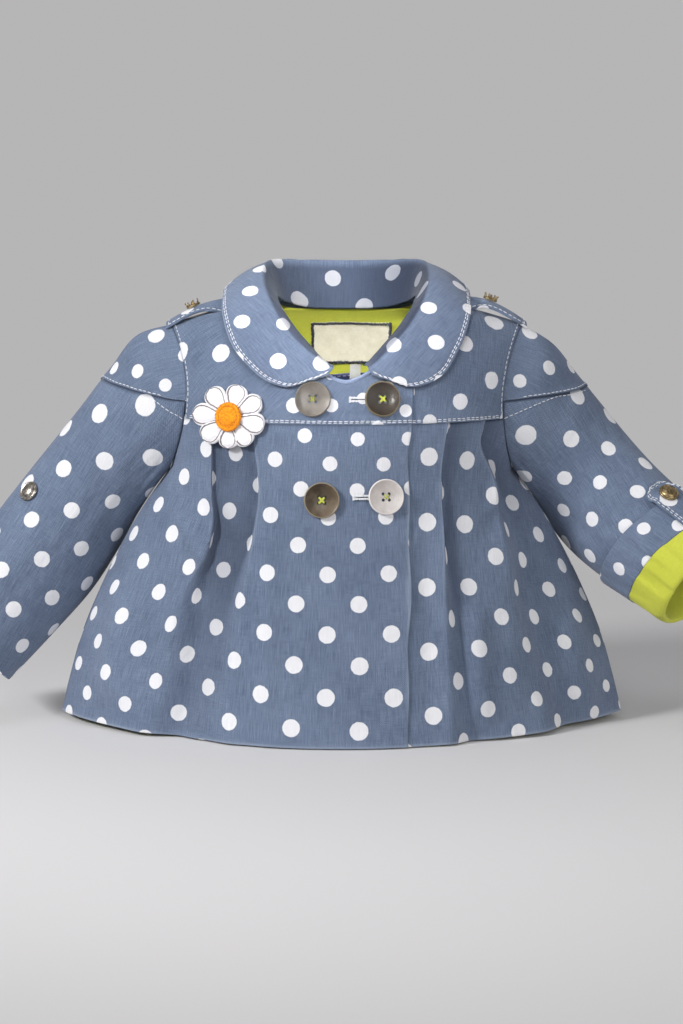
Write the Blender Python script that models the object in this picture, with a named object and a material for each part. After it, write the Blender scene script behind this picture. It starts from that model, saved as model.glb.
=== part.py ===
"""A toddler's double-breasted swing jacket, filled out as if worn and held at the neck.

Metres, +Z up, the front faces -Y, the wearer's left is +X. The origin is between the shoulders at
neck height, where the wearer carries the jacket. Each cut piece is a thin closed wall worked out
from the sections of the body and the sleeves, 0.3 mm from the pieces it is sewn to.
"""

import math

import bmesh
import bpy
import numpy as np
from mathutils import Vector

# Cloth and seams
WALL = 0.0010  # denim with its lining
SEAM = 0.0003  # space between pieces that are sewn together
LAP = 0.047  # the wearer's right front passes this far over the centre line
UNDER_LAP = 0.030  # and the left front this far under it
LAP_RISE = WALL + SEAM + 0.0004
COLLAR_WALL = 0.0014
LINING_SINK = 0.0027  # the lining inside the back starts this far in
LEAN = 0.0035  # the neck sits this far to the wearer's left of the hem

# Body: half width and depths of the level sections, and how pointed they are at the side seams
BODY = np.array(
    (  # z, half_width, front_depth, back_depth, point
        (-0.308, 0.2065, 0.1050, 0.0980, 1.60),
        (-0.275, 0.1985, 0.1010, 0.0940, 1.50),
        (-0.248, 0.1905, 0.0975, 0.0900, 1.42),
        (-0.212, 0.1755, 0.0925, 0.0840, 1.32),
        (-0.182, 0.1615, 0.0885, 0.0790, 1.24),
        (-0.155, 0.1465, 0.0850, 0.0750, 1.18),
        (-0.135, 0.1330, 0.0820, 0.0725, 1.12),
        (-0.122, 0.1236, 0.0800, 0.0715, 1.10),
    )
)
ARMPIT = -0.122
CHEST_FLARE = 0.09  # above it the sections, cut off by the armholes, widen by this much a metre
YOKE_SEAM = -0.0835
HEM_FRONT, HEM_SIDE, HEM_BACK = -0.306, -0.3015, -0.304
SHOULDER_TIP = 0.1255  # half the width between the armhole tops
RIDGE = (0.0030, 0.0220)  # height of the shoulder line at the centre, and its fall to the tip
FRONT_DOME, BACK_DOME = 2.2, 3.0  # how square the chest and the back meet the shoulder line
SCOOP_FRONT, SCOOP_BACK = 0.0125, 0.0060
NECK = 0.0540  # half the neck opening at the shoulder line
NECK_FRONT, NECK_BACK = -0.0545, -0.0080

# Knife pleats of the two fronts, their folds facing the side seams
PLEAT_DEPTH = 0.009
PLEATS = {  # side: inner pleat, outer pleat; each row: z, distance of the fold from the centre, open
    -1: (
        (
            (-0.083, 0.0650, 0.0),
            (-0.122, 0.0590, 0.05),
            (-0.155, 0.0620, 0.2),
            (-0.195, 0.0700, 0.5),
            (-0.310, 0.0860, 0.9),
        ),
        (
            (-0.083, 0.0925, 0.0),
            (-0.122, 0.0905, 0.05),
            (-0.160, 0.0915, 0.25),
            (-0.195, 0.1000, 0.5),
            (-0.310, 0.1330, 0.9),
        ),
    ),
    1: (
        (
            (-0.083, 0.0725, 0.0),
            (-0.115, 0.0700, 0.05),
            (-0.150, 0.0715, 0.25),
            (-0.195, 0.0740, 0.5),
            (-0.310, 0.0850, 0.9),
        ),
        (
            (-0.083, 0.0985, 0.0),
            (-0.105, 0.0980, 0.10),
            (-0.125, 0.1030, 0.3),
            (-0.160, 0.1150, 0.6),
            (-0.310, 0.1560, 1.0),
        ),
    ),
}
PLEAT = (  # across the pleat: shut place in depths and metres, shut rise, open place, open rise, swell
    (-1, -0.0080, 0.0002, 0, -0.0100, 0.0004, 0.0004),
    (-1, 0.0000, 0.0014, 0, -0.0040, 0.0014, 0.0012),
    (0, -0.0014, 0.0016, 0, -0.0012, 0.0019, 0.0018),
    (0, 0.0000, 0.0010, 0, 0.0000, 0.0020, 0.0018),
    (0, 0.0000, -0.0007, 0, 0.0012, 0.0018, 0.0010),
    (0, -0.0014, -0.0013, 0, 0.0030, 0.0012, -0.0006),
    (-1, 0.0004, -0.0013, 1, 0.0000, -0.0012, -0.0028),
    (-1, 0.0004, -0.0017, 1, 0.0020, -0.0014, -0.0032),
    (0, 0.0025, -0.0017, 2, 0.0000, -0.0008, -0.0016),
    (0, 0.0065, -0.0007, 2, 0.0080, 0.0000, -0.0003),
)

# Sleeves: sections from the armhole to the end, for a sleeve on the +X side
SLEEVES = {
    -1: (  # place, x, y, z, half_width, half_depth, tilt from upright in degrees
        (0.00, 0.1245, 0.0020, -0.0705, 0.0515, 0.0370, 0.0),
        (0.08, 0.1408, 0.0040, -0.0800, 0.0546, 0.0365, 7.3),
        (0.20, 0.1582, 0.0130, -0.1024, 0.0532, 0.0365, 12.2),
        (0.37, 0.1798, 0.0200, -0.1352, 0.0512, 0.0365, 19.3),
        (0.55, 0.2042, 0.0180, -0.1690, 0.0492, 0.0365, 26.9),
        (0.76, 0.2357, 0.0080, -0.2066, 0.0453, 0.0365, 35.5),
        (1.00, 0.2732, -0.0080, -0.2488, 0.0420, 0.0350, 47.0),
    ),
    1: (
        (0.00, 0.1245, 0.0020, -0.0705, 0.0515, 0.0370, 0.0),
        (0.10, 0.1396, 0.0040, -0.0829, 0.0519, 0.0365, 6.7),
        (0.24, 0.1558, 0.0140, -0.1036, 0.0505, 0.0365, 12.2),
        (0.42, 0.1760, 0.0180, -0.1300, 0.0490, 0.0370, 19.6),
        (0.64, 0.2038, 0.0000, -0.1584, 0.0442, 0.0375, 26.4),
        (0.84, 0.2326, -0.0220, -0.1808, 0.0400, 0.0380, 34.4),
        (1.00, 0.2560, -0.0400, -0.1992, 0.0370, 0.0375, 41.3),
    ),
}
ARMHOLE_BLEND = 0.34  # by this place along the sleeve its sections are plain ovals
CAP_END = math.radians(93)  # the cap seam meets the armhole this far round from the top
CAP_SEAM = {  # places of the cap seam at turns of 0, 36, 52, 66, 77, 86 and 93 degrees
    -1: (0.246, 0.206, 0.172, 0.134, 0.094, 0.050, 0.0),
    1: (0.306, 0.256, 0.208, 0.153, 0.100, 0.048, 0.0),
}
CAP_TURNS = np.radians((0, 36, 52, 66, 77, 86, 93))
TURN_TOP = (0.757, 0.050)  # start of the turned-up part of the left sleeve, and its slant
FACING_END = (0.885, 0.030)  # start of its lime part, and its slant
TURN_RISE = 0.0030

# Collar: half of it from the centre back to the tip: seam, roll line and outer edge, x y z
COLLAR = np.array(
    (
        ((0.000, 0.0405, -0.0100), (0.000, 0.0480, 0.0245), (0.000, 0.0760, -0.0140)),
        ((0.026, 0.0365, -0.0090), (0.031, 0.0440, 0.0250), (0.041, 0.0730, -0.0120)),
        ((0.043, 0.0230, -0.0040), (0.052, 0.0290, 0.0260), (0.073, 0.0520, 0.0010)),
        ((0.049, 0.0040, 0.0010), (0.0595, 0.0060, 0.0230), (0.0870, 0.0190, 0.0070)),
        ((0.0480, -0.0140, -0.0010), (0.0595, -0.0160, 0.0125), (0.0885, -0.0200, -0.0010)),
        ((0.0440, -0.0300, -0.0085), (0.0540, -0.0345, -0.0010), (0.0865, -0.0420, -0.0125)),
        ((0.0355, -0.0430, -0.0205), (0.0435, -0.0525, -0.0180), (0.0790, -0.0580, -0.0310)),
        ((0.0245, -0.0540, -0.0325), (0.0305, -0.0635, -0.0320), (0.0640, -0.0690, -0.0495)),
        ((0.0175, -0.0590, -0.0400), (0.0215, -0.0690, -0.0400), (0.0450, -0.0735, -0.0575)),
        ((0.0130, -0.0610, -0.0440), (0.0160, -0.0715, -0.0440), (0.0280, -0.0745, -0.0530)),
        ((0.0105, -0.0625, -0.0455), (0.0125, -0.0730, -0.0452), (0.0155, -0.0762, -0.0480)),
    )
)
COLLAR_LIFT = LAP_RISE + COLLAR_WALL + SEAM + 0.0011  # face of the collar above the body

# Trims
BUTTON_RADIUS, BUTTON_THICK = 0.0125, 0.0030
BUTTONS = {  # x, z, colour
    "button_upper_right": (-0.0218, -0.0667, (0.23, 0.19, 0.16)),
    "button_upper_left": (0.0255, -0.0667, (0.045, 0.030, 0.018)),
    "button_lower_right": (-0.0133, -0.1355, (0.10, 0.07, 0.045)),
    "button_lower_left": (0.0303, -0.1335, (0.62, 0.55, 0.52)),
}
DAISY_AT, DAISY_RISE = (-0.0777, -0.0800), 0.0042
PETALS, PETAL_REACH, PETAL_DIP = 8, 0.0245, 0.0075
DAISY_EYE = 0.0100
STRAP_HALF, STRAP_WALL = 0.0130, 0.0020
STRAP_FROM, STRAP_TO = 0.0735, 0.1290
STRAP_BOW = {-1: 0.0036, 1: 0.0056}  # how far each strap stands off the shoulder at its middle
CROWN_AT = {-1: 0.645, 1: 0.526}  # share of the strap's length
TAB_TURN = math.radians(37)  # turn round the sleeve of the tab's middle
SNAPS = {  # side, place, turn, height of the cloth under it, radius
    "tab_snap": (1, 0.786, math.radians(39), 0.0057, 0.0072),
    "sleeve_snap": (-1, 0.586, math.radians(36), 0.0, 0.0075),
}

DENIM = (0.150, 0.190, 0.290)
LIME = (0.50, 0.52, 0.06)
WHITE = (0.85, 0.83, 0.83)
CREAM = (0.62, 0.56, 0.40)
ORANGE = (0.90, 0.30, 0.01)
BRASS = (0.42, 0.33, 0.18)


def through(keys, values, at):
    """Smooth curve through values at ascending keys, read at a place or an array of places."""
    keys, values = np.asarray(keys, float), np.asarray(values, float)
    slopes = np.gradient(values, keys)
    i = np.clip(np.searchsorted(keys, at) - 1, 0, len(keys) - 2)
    width = keys[i + 1] - keys[i]
    t = np.clip((at - keys[i]) / width, 0, 1)
    ends = (1 + 2 * t) * (1 - t) ** 2 * values[i] + t * t * (3 - 2 * t) * values[i + 1]
    return ends + t * (1 - t) * width * ((1 - t) * slopes[i] - t * slopes[i + 1])


def ease(t):
    t = np.clip(t, 0, 1)
    return t * t * (3 - 2 * t)


def unit(vectors):
    return vectors / np.maximum(np.linalg.norm(vectors, axis=-1, keepdims=True), 1e-12)


# ---------------------------------------------------------------- the form of the body


def shoulder(x):
    """Height of the shoulder line."""
    return RIDGE[0] - RIDGE[1] * (np.abs(x) / SHOULDER_TIP) ** 2


def below_shoulder(x, z):
    """0 on the shoulder line, 1 at armpit level and lower."""
    return np.clip((shoulder(x) - z) / (shoulder(x) - ARMPIT), 0, 1)


def armhole_x(w, back=False):
    """Distance of the armhole seam from the centre, from the shoulder tip (w 0) to the armpit (w 1)."""
    straight = SHOULDER_TIP + (BODY[-1, 1] - SHOULDER_TIP) * w
    return straight - (SCOOP_BACK if back else SCOOP_FRONT) * np.sin(math.pi * w) ** 0.8


def side_x(z):
    return through(BODY[:, 0], BODY[:, 1], z) + CHEST_FLARE * np.maximum(z - ARMPIT, 0)


def body(x, z, back=False):
    """Points of the garment's outer face."""
    x, z = np.broadcast_arrays(np.asarray(x, float), np.asarray(z, float))
    depth, point = (through(BODY[:, 0], BODY[:, k], z) for k in (3 if back else 2, 4))
    dome = BACK_DOME if back else FRONT_DOME
    depth = depth * (1 - (1 - below_shoulder(x, z)) ** dome) ** (1 / dome)
    y = depth * np.clip(1 - (x / side_x(z)) ** 2, 0, 1) ** (point / 2)
    return np.stack((x, y if back else -y, z), -1)


def body_out(x, z, back=False):
    """Unit directions straight out of that face."""
    step = 0.0008
    across = body(x + step, z, back) - body(x - step, z, back)
    up = body(x, z + step, back) - body(x, z - step, back)
    out = unit(np.cross(across, up))
    return -out if back else out


def on_body(x, z, rise=0.0, back=False):
    x, z = np.broadcast_arrays(np.asarray(x, float), np.asarray(z, float))
    return body(x, z, back) + body_out(x, z, back) * np.asarray(rise)[..., None]


def neck_z(x):
    """Height of the front neck edge."""
    return NECK_FRONT * (1 - np.clip(np.abs(x) / NECK, 0, 1) ** 1.7)


def armhole_turn(z):
    """Turn round the armhole ring from its top, where its front passes a height."""
    w = 0.6
    for _ in range(8):
        w = below_shoulder(armhole_x(w), z)
    return math.acos(1 - 2 * w)


def lower_turns():
    """Turns from the yoke seam to the armpit."""
    return np.linspace(armhole_turn(YOKE_SEAM), math.pi, 5)


def armhole(side, phi):
    """Ring where a sleeve meets the body: phi 0 at the shoulder tip, 90 degrees in front."""
    w = (1 - np.cos(phi)) / 2
    front = np.sin(phi) >= 0
    rings = []
    for back in (False, True):
        x = armhole_x(w, back)
        z = (1 - w) * shoulder(x) + w * ARMPIT
        rings.append(body(x, z, back))
    ring = np.where(front[..., None], rings[0], rings[1])
    return ring * (side, 1, 1)


def armhole_in(side, phi, under_arm=-1.0):
    """From that ring towards the inside of a piece; under the arm the body's wall and the
    sleeve's part, to either side."""
    w = (1 - np.cos(phi)) / 2
    return np.stack((side * under_arm * w**3, np.sin(phi), -np.cos(phi)), -1)


# ---------------------------------------------------------------- the form of the sleeves


def sleeve(side, place, phi, rise=0.0):
    """Points of a sleeve: place 0 at the armhole and 1 at the end, phi 0 on top, 90 degrees in front."""
    place, phi = np.broadcast_arrays(np.asarray(place, float), np.asarray(phi, float))
    table = np.array(SLEEVES[side])

    def column(k, at):
        return through(table[:, 0], table[:, k], at)

    def middle(at):
        return np.stack([column(k, at) for k in (1, 2, 3)], -1)

    def oval(at, grow):
        tilt = np.radians(column(6, at))
        along = middle(np.minimum(at + 0.01, 1)) - middle(np.maximum(at - 0.01, 0))
        outer = np.stack((np.sin(tilt), 0 * tilt, np.cos(tilt)), -1)
        swing = ease((at - 0.3) / 0.4)[..., None]
        square = np.cross(outer, -unit(along))
        front = unit(square * swing - np.array((0.0, 1.0, 0.0)) * (1 - swing))
        width = (column(4, at) + grow) * np.cos(phi)
        depth = (column(5, at) + grow) * np.sin(phi)
        return middle(at) + outer * width[..., None] + front * depth[..., None]

    past = np.maximum(place - 1, 0)[..., None]
    end_step = (middle(np.ones_like(place)) - middle(np.full_like(place, 0.98))) / 0.02
    points = oval(np.clip(place, 0, 1), np.asarray(rise)) + end_step * past
    fade = 1 - ease(place / ARMHOLE_BLEND)[..., None]
    points = points + (armhole(1, phi) - oval(0 * place, 0.0)) * fade
    return points * (side, 1, 1)


def sleeve_in(side, place, phi):
    """Directions into a sleeve's wall, turning into those of the armhole seam at its start."""
    place, phi = np.broadcast_arrays(np.asarray(place, float), np.asarray(phi, float))
    step = 0.01
    along = sleeve(side, place + step, phi) - sleeve(side, np.maximum(place - step, 0), phi)
    turn = sleeve(side, place, phi + step) - sleeve(side, place, phi - step)
    inside = unit(np.cross(along, turn)) * side
    near = ease(1 - place / 0.12)[..., None]
    return inside * (1 - near) + armhole_in(side, phi, 0.7) * near


def cap_place(side, phi):
    """Place of the cap seam along the sleeve; it is on the armhole beyond CAP_END."""
    return np.interp(np.abs((phi + math.pi) % (2 * math.pi) - math.pi), CAP_TURNS, CAP_SEAM[side])


def sleeve_turns():
    """Turns of the columns of every sleeve piece that goes all round."""
    half = np.concatenate((CAP_TURNS, lower_turns()))
    return np.concatenate((half, 2 * math.pi - half[-2:0:-1]))[None]


# ---------------------------------------------------------------- making solids


def finish(mesh_faces, points, name, colour, roughness, metallic):
    """One closed object from faces and points, facing out, with its own material."""
    mesh = bmesh.new()
    verts = [mesh.verts.new((x + LEAN * ease((z + 0.13) / 0.10), y, z)) for x, y, z in points]
    for face in mesh_faces:
        mesh.faces.new([verts[i] for i in face])
    bmesh.ops.recalc_face_normals(mesh, faces=mesh.faces)
    data = bpy.data.meshes.new(name)
    mesh.to_mesh(data)
    mesh.free()
    obj = bpy.data.objects.new(name, data)
    bpy.context.scene.collection.objects.link(obj)
    material = bpy.data.materials.new(name)
    material.use_nodes = True
    surface = material.node_tree.nodes["Principled BSDF"]
    surface.inputs["Base Color"].default_value = (*colour, 1)
    surface.inputs["Roughness"].default_value = roughness
    surface.inputs["Metallic"].default_value = metallic
    data.materials.append(material)
    data.shade_smooth()
    data.set_sharp_from_angle(angle=math.radians(35))
    return obj


def steps(points, axis, ring):
    """Mean unit step before and after each point of a grid, along one axis."""
    if ring:
        ahead = unit(np.roll(points, -1, axis) - points)
        return ahead + np.roll(ahead, 1, axis)
    ahead = unit(np.diff(points, axis=axis))
    first, last = np.take(ahead, [0], axis), np.take(ahead, [-1], axis)
    return np.concatenate((first, ahead), axis) + np.concatenate((ahead, last), axis)


def cloth(name, face, colour=DENIM, wall=WALL, ring=False, inward=None, roughness=0.9, metallic=0.0):
    """Wall of cloth behind a grid of face points. Columns x rows turn out of the face. A ring
    closes across its columns. inward gives (row or column slice, directions) for sewn edges."""
    across, up = steps(face, 1, ring), steps(face, 0, False)
    out = unit(np.cross(across, up))
    corner = np.clip(2 / np.linalg.norm(across, axis=-1, keepdims=True), 1, 1.5)
    offset = -out * corner * wall
    for where, directions in inward or ():
        offset[where] = directions * wall
    rows, columns = face.shape[:2]
    count = rows * columns
    points = np.concatenate((face.reshape(-1, 3), (face + offset).reshape(-1, 3)))
    index = np.arange(count).reshape(rows, columns)
    if ring:
        index = np.concatenate((index, index[:, :1]), 1)
    faces = []
    for r in range(index.shape[0] - 1):
        for c in range(index.shape[1] - 1):
            low, low_next = index[r, c], index[r, c + 1]
            high, high_next = index[r + 1, c], index[r + 1, c + 1]
            rising = np.linalg.norm(points[low] - points[high_next])
            if rising <= np.linalg.norm(points[low_next] - points[high]):
                halves = ((low, low_next, high_next), (low, high_next, high))
            else:
                halves = ((low, low_next, high), (low_next, high_next, high))
            for half in halves:
                faces += [half, [i + count for i in reversed(half)]]
    rims = [index[0], index[-1]] + ([] if ring else [index[:, 0], index[:, -1]])
    for rim in rims:
        faces += [[a, b, b + count, a + count] for a, b in zip(rim[:-1], rim[1:])]
    return finish(faces, points, name, colour, roughness, metallic)


def turned(name, at, axis, profile, colour, roughness, metallic, sides=28, lobes=0):
    """Solid turned about an axis through a point, from radius and height pairs, base to top.
    Lobes make its rings wavy, less and less towards the top."""
    axis = unit(np.asarray(axis, float))
    first = unit(np.cross(axis, (0.0, 0.35, 1.0)))
    second = np.cross(axis, first)
    points, faces = [], []
    for radius, height in profile:
        for k in range(sides):
            turn = 2 * math.pi * k / sides
            spoke = first * math.cos(turn) + second * math.sin(turn)
            wave = 1 + 0.14 * math.cos(lobes * turn) if lobes and radius > 0.003 else 1
            points.append(np.asarray(at) + axis * height + spoke * radius * wave)
    for ring in range(len(profile) - 1):
        for k in range(sides):
            a, b = ring * sides + k, ring * sides + (k + 1) % sides
            faces.append([a, b, b + sides, a + sides])
    faces += [list(range(sides)), list(range(len(points) - sides, len(points)))]
    return finish(faces, points, name, colour, roughness, metallic)


# ---------------------------------------------------------------- the pieces


def hem(x, back=False):
    middle = HEM_BACK if back else HEM_FRONT
    return HEM_SIDE + (middle - HEM_SIDE) * np.clip(1 - (x / 0.2050) ** 2, 0, 1)


def pleat_at(rows, z):
    """Distance of a fold from the centre line, and how far its pleat has opened, at a level."""
    table = np.array(rows)[::-1]
    return through(table[:, 0], table[:, 1], z), np.clip(through(table[:, 0], table[:, 2], z), 0, 1)


def lap_rise(side, places):
    """Extra height of the wearer's right front where it lies on the left one."""
    return LAP_RISE * (1 - ease((places - LAP - 0.003) / 0.014)) if side < 0 else 0 * places


def skirt_row(side, z, limit):
    """Places from beyond the centre line to the side, and rises, of one level of a front skirt."""
    places, rises = [], []
    start = -LAP if side < 0 else -UNDER_LAP
    for number, rows in enumerate(PLEATS[side]):
        fold, opened = (float(v) for v in pleat_at(rows, z))
        shut = 1 - opened
        swell = 4 * opened * shut
        pleat, rise = [], []
        for depths, place, up, open_depths, open_place, open_up, bulge in PLEAT:
            closed_at = depths * PLEAT_DEPTH + place
            pleat.append(fold + closed_at * shut + (open_depths * PLEAT_DEPTH + open_place) * opened)
            rise.append(up * shut + open_up * opened + bulge * swell)
        room = limit - 0.0030 - fold
        pleat = [p if p < fold else fold + room * (1 - math.exp((fold - p) / room)) for p in pleat]
        count = 7 if number == 0 else 2
        between = list(np.linspace(start, pleat[0], count + 1)[(0 if number == 0 else 1) : -1])
        places += between + pleat
        rises += [0.0] * len(between) + rise
        start = pleat[-1]
    tail = np.sin(np.linspace(0, math.pi / 2, 6)[1:])
    places += list(start + (limit - start) * tail)
    rises += [0.0] * 5
    return np.array(places), np.array(rises)


def front_skirt(name, side):
    """Skirt of one front, from the yoke seam to the hem. The wearer's right one lies on top."""
    top = YOKE_SEAM - SEAM / 2
    turns = [armhole_turn(top), *lower_turns()[1:]]
    grid, sewn = [], []
    for level in (HEM_FRONT, -0.270, -0.235, -0.205, -0.180, -0.157, -0.138):
        drop = ease((ARMPIT - level) / (ARMPIT - HEM_FRONT)) ** 2
        places, rises = skirt_row(side, level, float(side_x(level)))
        z = level + (hem(places) - HEM_FRONT) * drop
        places[-1] = side_x(z[-1])
        row = on_body(places, z, rises + lap_rise(side, places))
        row[-1] = (places[-1], -SEAM / 2, z[-1])
        grid.append(row * (side, 1, 1))
        sewn.append(np.array((-side, 0.0, 0.0)))
    for turn in reversed(turns):
        w = (1 - math.cos(turn)) / 2
        limit = float(armhole_x(w))
        z = (1 - w) * shoulder(limit) + w * ARMPIT
        places, rises = skirt_row(side, z, limit)
        row = on_body(places, z, rises + lap_rise(side, places))
        row[-1] = armhole(1, np.array(turn)) - (SEAM / 2, 0, 0)
        if turn == turns[-1]:
            row[-1, 1] = -SEAM / 2
        grid.append(row * (side, 1, 1))
        sewn.append(armhole_in(side, np.array(turn)))
    face, column = np.array(grid), -1
    if side < 0:
        face, column = face[:, ::-1], 0
    return cloth(name, face, inward=[((slice(None), column), np.array(sewn))])


def upper_grid(bottom_x, bottom_w, top_x, top_w, turns, back):
    """Places and levels of the part of the body above a line, up to the neck and shoulder edges.
    The last column follows the armhole through these turns."""
    fall = (1 - np.cos(turns)) / 2
    fall = (fall / fall[0])[:, None]
    w = top_w + (bottom_w - top_w) * fall
    x = top_x + (bottom_x - top_x) * fall
    share = np.clip(x / np.maximum(x[:, -1:], 1e-9), 0, 1) ** 4
    return x + (armhole_x(w[:, -1:], back) - x[:, -1:]) * share, w


def top_edge(back, start, neck_count, shoulder_count):
    """Places and levels of the neck edge from a start place out to the neck point, then of the
    shoulder seam out to its tip."""
    neck = NECK * np.sin(np.linspace(math.asin(start / NECK), math.pi / 2, neck_count + 1))
    across = np.linspace(NECK, SHOULDER_TIP, shoulder_count + 1)[1:]
    if back:
        z = NECK_BACK + (shoulder(NECK) - NECK_BACK) * (neck / NECK) ** 4
    else:
        z = neck_z(neck)
        z[-1] = shoulder(NECK)
    x = np.concatenate((neck, across))
    return x, np.concatenate((below_shoulder(neck, z), 0 * across))


def level_points(x, w, back, rise=0.0):
    """Body points by place and level w; on the shoulder line they stop half a seam short."""
    z = (1 - w) * shoulder(x) + w * ARMPIT
    points = on_body(x, z, rise, back)
    ridge = np.stack((x, np.full_like(x, SEAM / 2 if back else -SEAM / 2), shoulder(x)), -1)
    return np.where((w < 1e-6)[..., None], ridge, points)


def front_yoke(name, side):
    """Smooth upper front, from the yoke seam to the neck and the shoulder seam."""
    start = LAP if side < 0 else UNDER_LAP
    top_x, top_w = top_edge(False, -start, 11, 6)
    share = np.concatenate((np.linspace(0, 0.56, 12), np.linspace(0.56, 1, 7)[1:]))
    level = YOKE_SEAM + SEAM / 2
    turns = np.array([armhole_turn(level), *CAP_TURNS[::-1]])
    limit = float(armhole_x((1 - math.cos(turns[0])) / 2))
    bottom_x = -start + (limit + start) * share
    x, w = upper_grid(bottom_x, below_shoulder(bottom_x, level), top_x, top_w, turns, False)
    face = level_points(x, w, False, lap_rise(side, x))
    face[:, -1] = armhole(1, turns) - (SEAM / 2, 0, 0)
    face[-1, -1, 1] = -SEAM / 2
    ridge, column = np.flatnonzero(top_w < 1e-6), -1
    down = np.tile((0.0, 0.0, -1.0), (len(ridge), 1))
    face = face * (side, 1, 1)
    if side < 0:
        face, ridge, column = face[:, ::-1], len(top_x) - 1 - ridge, 0
    edge = armhole_in(side, turns)
    return cloth(name, face, inward=[((slice(None), column), edge), ((-1, ridge), down)])


def flare(x, z):
    """Soft upright folds of the back skirt."""
    return 0.0035 * np.cos(x * 70) * ease((ARMPIT - z) / 0.15) * np.clip(1 - (x / 0.20) ** 4, 0, 1)


def back_panel(name):
    """Whole back: skirt levels from hem to armpit, then up to the neck and the shoulder seams."""
    top_x, top_w = top_edge(True, 0.0, 5, 6)
    share = np.sin(np.linspace(0, math.pi / 2, 12))
    half, sewn = [], []
    for level in (HEM_BACK, -0.270, -0.235, -0.203, -0.175, -0.152, -0.135):
        x = side_x(level) * share
        z = level + (hem(x, True) - HEM_BACK) * ease((ARMPIT - level) / (ARMPIT - HEM_BACK)) ** 2
        x = side_x(z) * share
        row = on_body(x, z, flare(x, z), True)
        row[-1] = (x[-1], SEAM / 2, z[-1])
        half.append(row)
        sewn.append((-1.0, 0.0, 0.0))
    turns = np.concatenate((lower_turns()[::-1], CAP_TURNS[::-1]))
    x, w = upper_grid(side_x(ARMPIT) * share, np.ones(12), top_x, top_w, turns, True)
    face = level_points(x, w, True)
    face[:, -1] = armhole(1, 2 * math.pi - turns) - (SEAM / 2, 0, 0)
    face[-1, -1, 1] = face[0, -1, 1] = SEAM / 2
    half = np.concatenate((np.array(half), face))
    edge = np.concatenate((np.array(sewn), armhole_in(1, 2 * math.pi - turns)))
    other = half[:, :0:-1] * (-1, 1, 1)
    face = np.concatenate((other, half), 1)[:, ::-1]
    last = face.shape[1] - 1
    middle = last // 2
    ridge = np.flatnonzero(top_w < 1e-6)
    ridge = np.concatenate((middle - ridge, middle + ridge))
    down = np.tile((0.0, 0.0, -1.0), (len(ridge), 1))
    sides = [((slice(None), 0), edge), ((slice(None), last), edge * (-1, 1, 1))]
    return cloth(name, face, inward=sides + [((-1, ridge), down)])


def turn_way(side, grid):
    """A sleeve grid with its columns in the order that turns its face out."""
    return grid[:, ::-1] if side < 0 else grid


def sleeve_piece(name, side, place, phi, ring=False):
    """Wall of a sleeve piece; places of 0 lie on the armhole seam."""
    place, phi = np.broadcast_arrays(place, phi)
    face = sleeve(side, place, phi)
    seam = armhole(side, phi % (2 * math.pi)) + (side * SEAM / 2, 0, 0)
    face = np.where((place <= 0)[..., None], seam, face)
    inside = sleeve_in(side, place, phi)
    every = (slice(None), slice(None))
    return cloth(name, turn_way(side, face), ring=ring, inward=[(every, turn_way(side, inside))])


def sleeve_cap(name, side):
    """Upper sleeve between the armhole and the curved cap seam."""
    half = CAP_TURNS.copy()
    half[-1] -= 0.030
    reach = cap_place(side, half) - 0.0007
    phi = np.concatenate((-half[:0:-1], half))[None] * 0.996
    reach = np.concatenate((reach[:0:-1], reach))[None]
    return sleeve_piece(name, side, reach * np.linspace(0, 1, 6)[:, None], phi)


def sleeve_tube(name, side, end):
    """Rest of a sleeve: below the cap seam, and from the armhole under the arm."""
    phi = sleeve_turns()
    reach = cap_place(side, phi)
    first = np.where(reach > 1e-6, reach + 0.0006, 0.0)
    t = np.linspace(0, 1, 11)[:, None] ** 1.15
    return sleeve_piece(name, side, first + (end - first) * t, phi, ring=True)


def slanted(line, phi):
    """Place of an edge that runs round a sleeve at a slant."""
    return line[0] + line[1] * np.cos(phi)


def turned_facing(name):
    """Denim hem facing of the rolled sleeve, doubled, its old end now uppermost."""
    phi, t = sleeve_turns(), np.linspace(0, 1, 4)[:, None]
    first, last = slanted(TURN_TOP, phi), slanted(FACING_END, phi) - 0.0015
    face = sleeve(1, first + (last - first) * t, phi, TURN_RISE)
    return cloth(name, turn_way(1, face), wall=0.0020, ring=True)


def turned_lining(name):
    """Lime lining of the rolled sleeve: outside from the facing, round the end and back inside."""
    phi = sleeve_turns()
    rows = ((0.94, TURN_RISE), (0.98, TURN_RISE), (1.0, 0.0027), (1.008, 0.0014), (1.008, -0.0010))
    rows += ((1.0, -0.0026), (0.93, -0.0029), (0.85, -0.0029), (0.78, -0.0029))
    place, rise = (column[:, None] for column in np.array(rows).T)
    place = np.concatenate((slanted(FACING_END, phi), np.broadcast_to(place, (len(rows), phi.shape[1]))))
    rise = np.concatenate(([[TURN_RISE]], rise))
    return cloth(name, turn_way(1, sleeve(1, place, phi, rise)), colour=LIME, wall=0.0011, ring=True)


def clear_of_body(points, lift):
    """Points pushed out until they stand at least a lift off the garment."""
    back = points[..., 1] > 0
    x, z = points[..., 0], points[..., 2]
    near = np.where(back[..., None], body(x, z, True), body(x, z))
    out = np.where(back[..., None], body_out(x, z, True), body_out(x, z))
    short = lift - np.sum((points - near) * out, -1)
    on_it = (z < shoulder(x) - 0.004) & (short > 0)
    return points + out * np.where(on_it, short, 0.0)[..., None]


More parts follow.
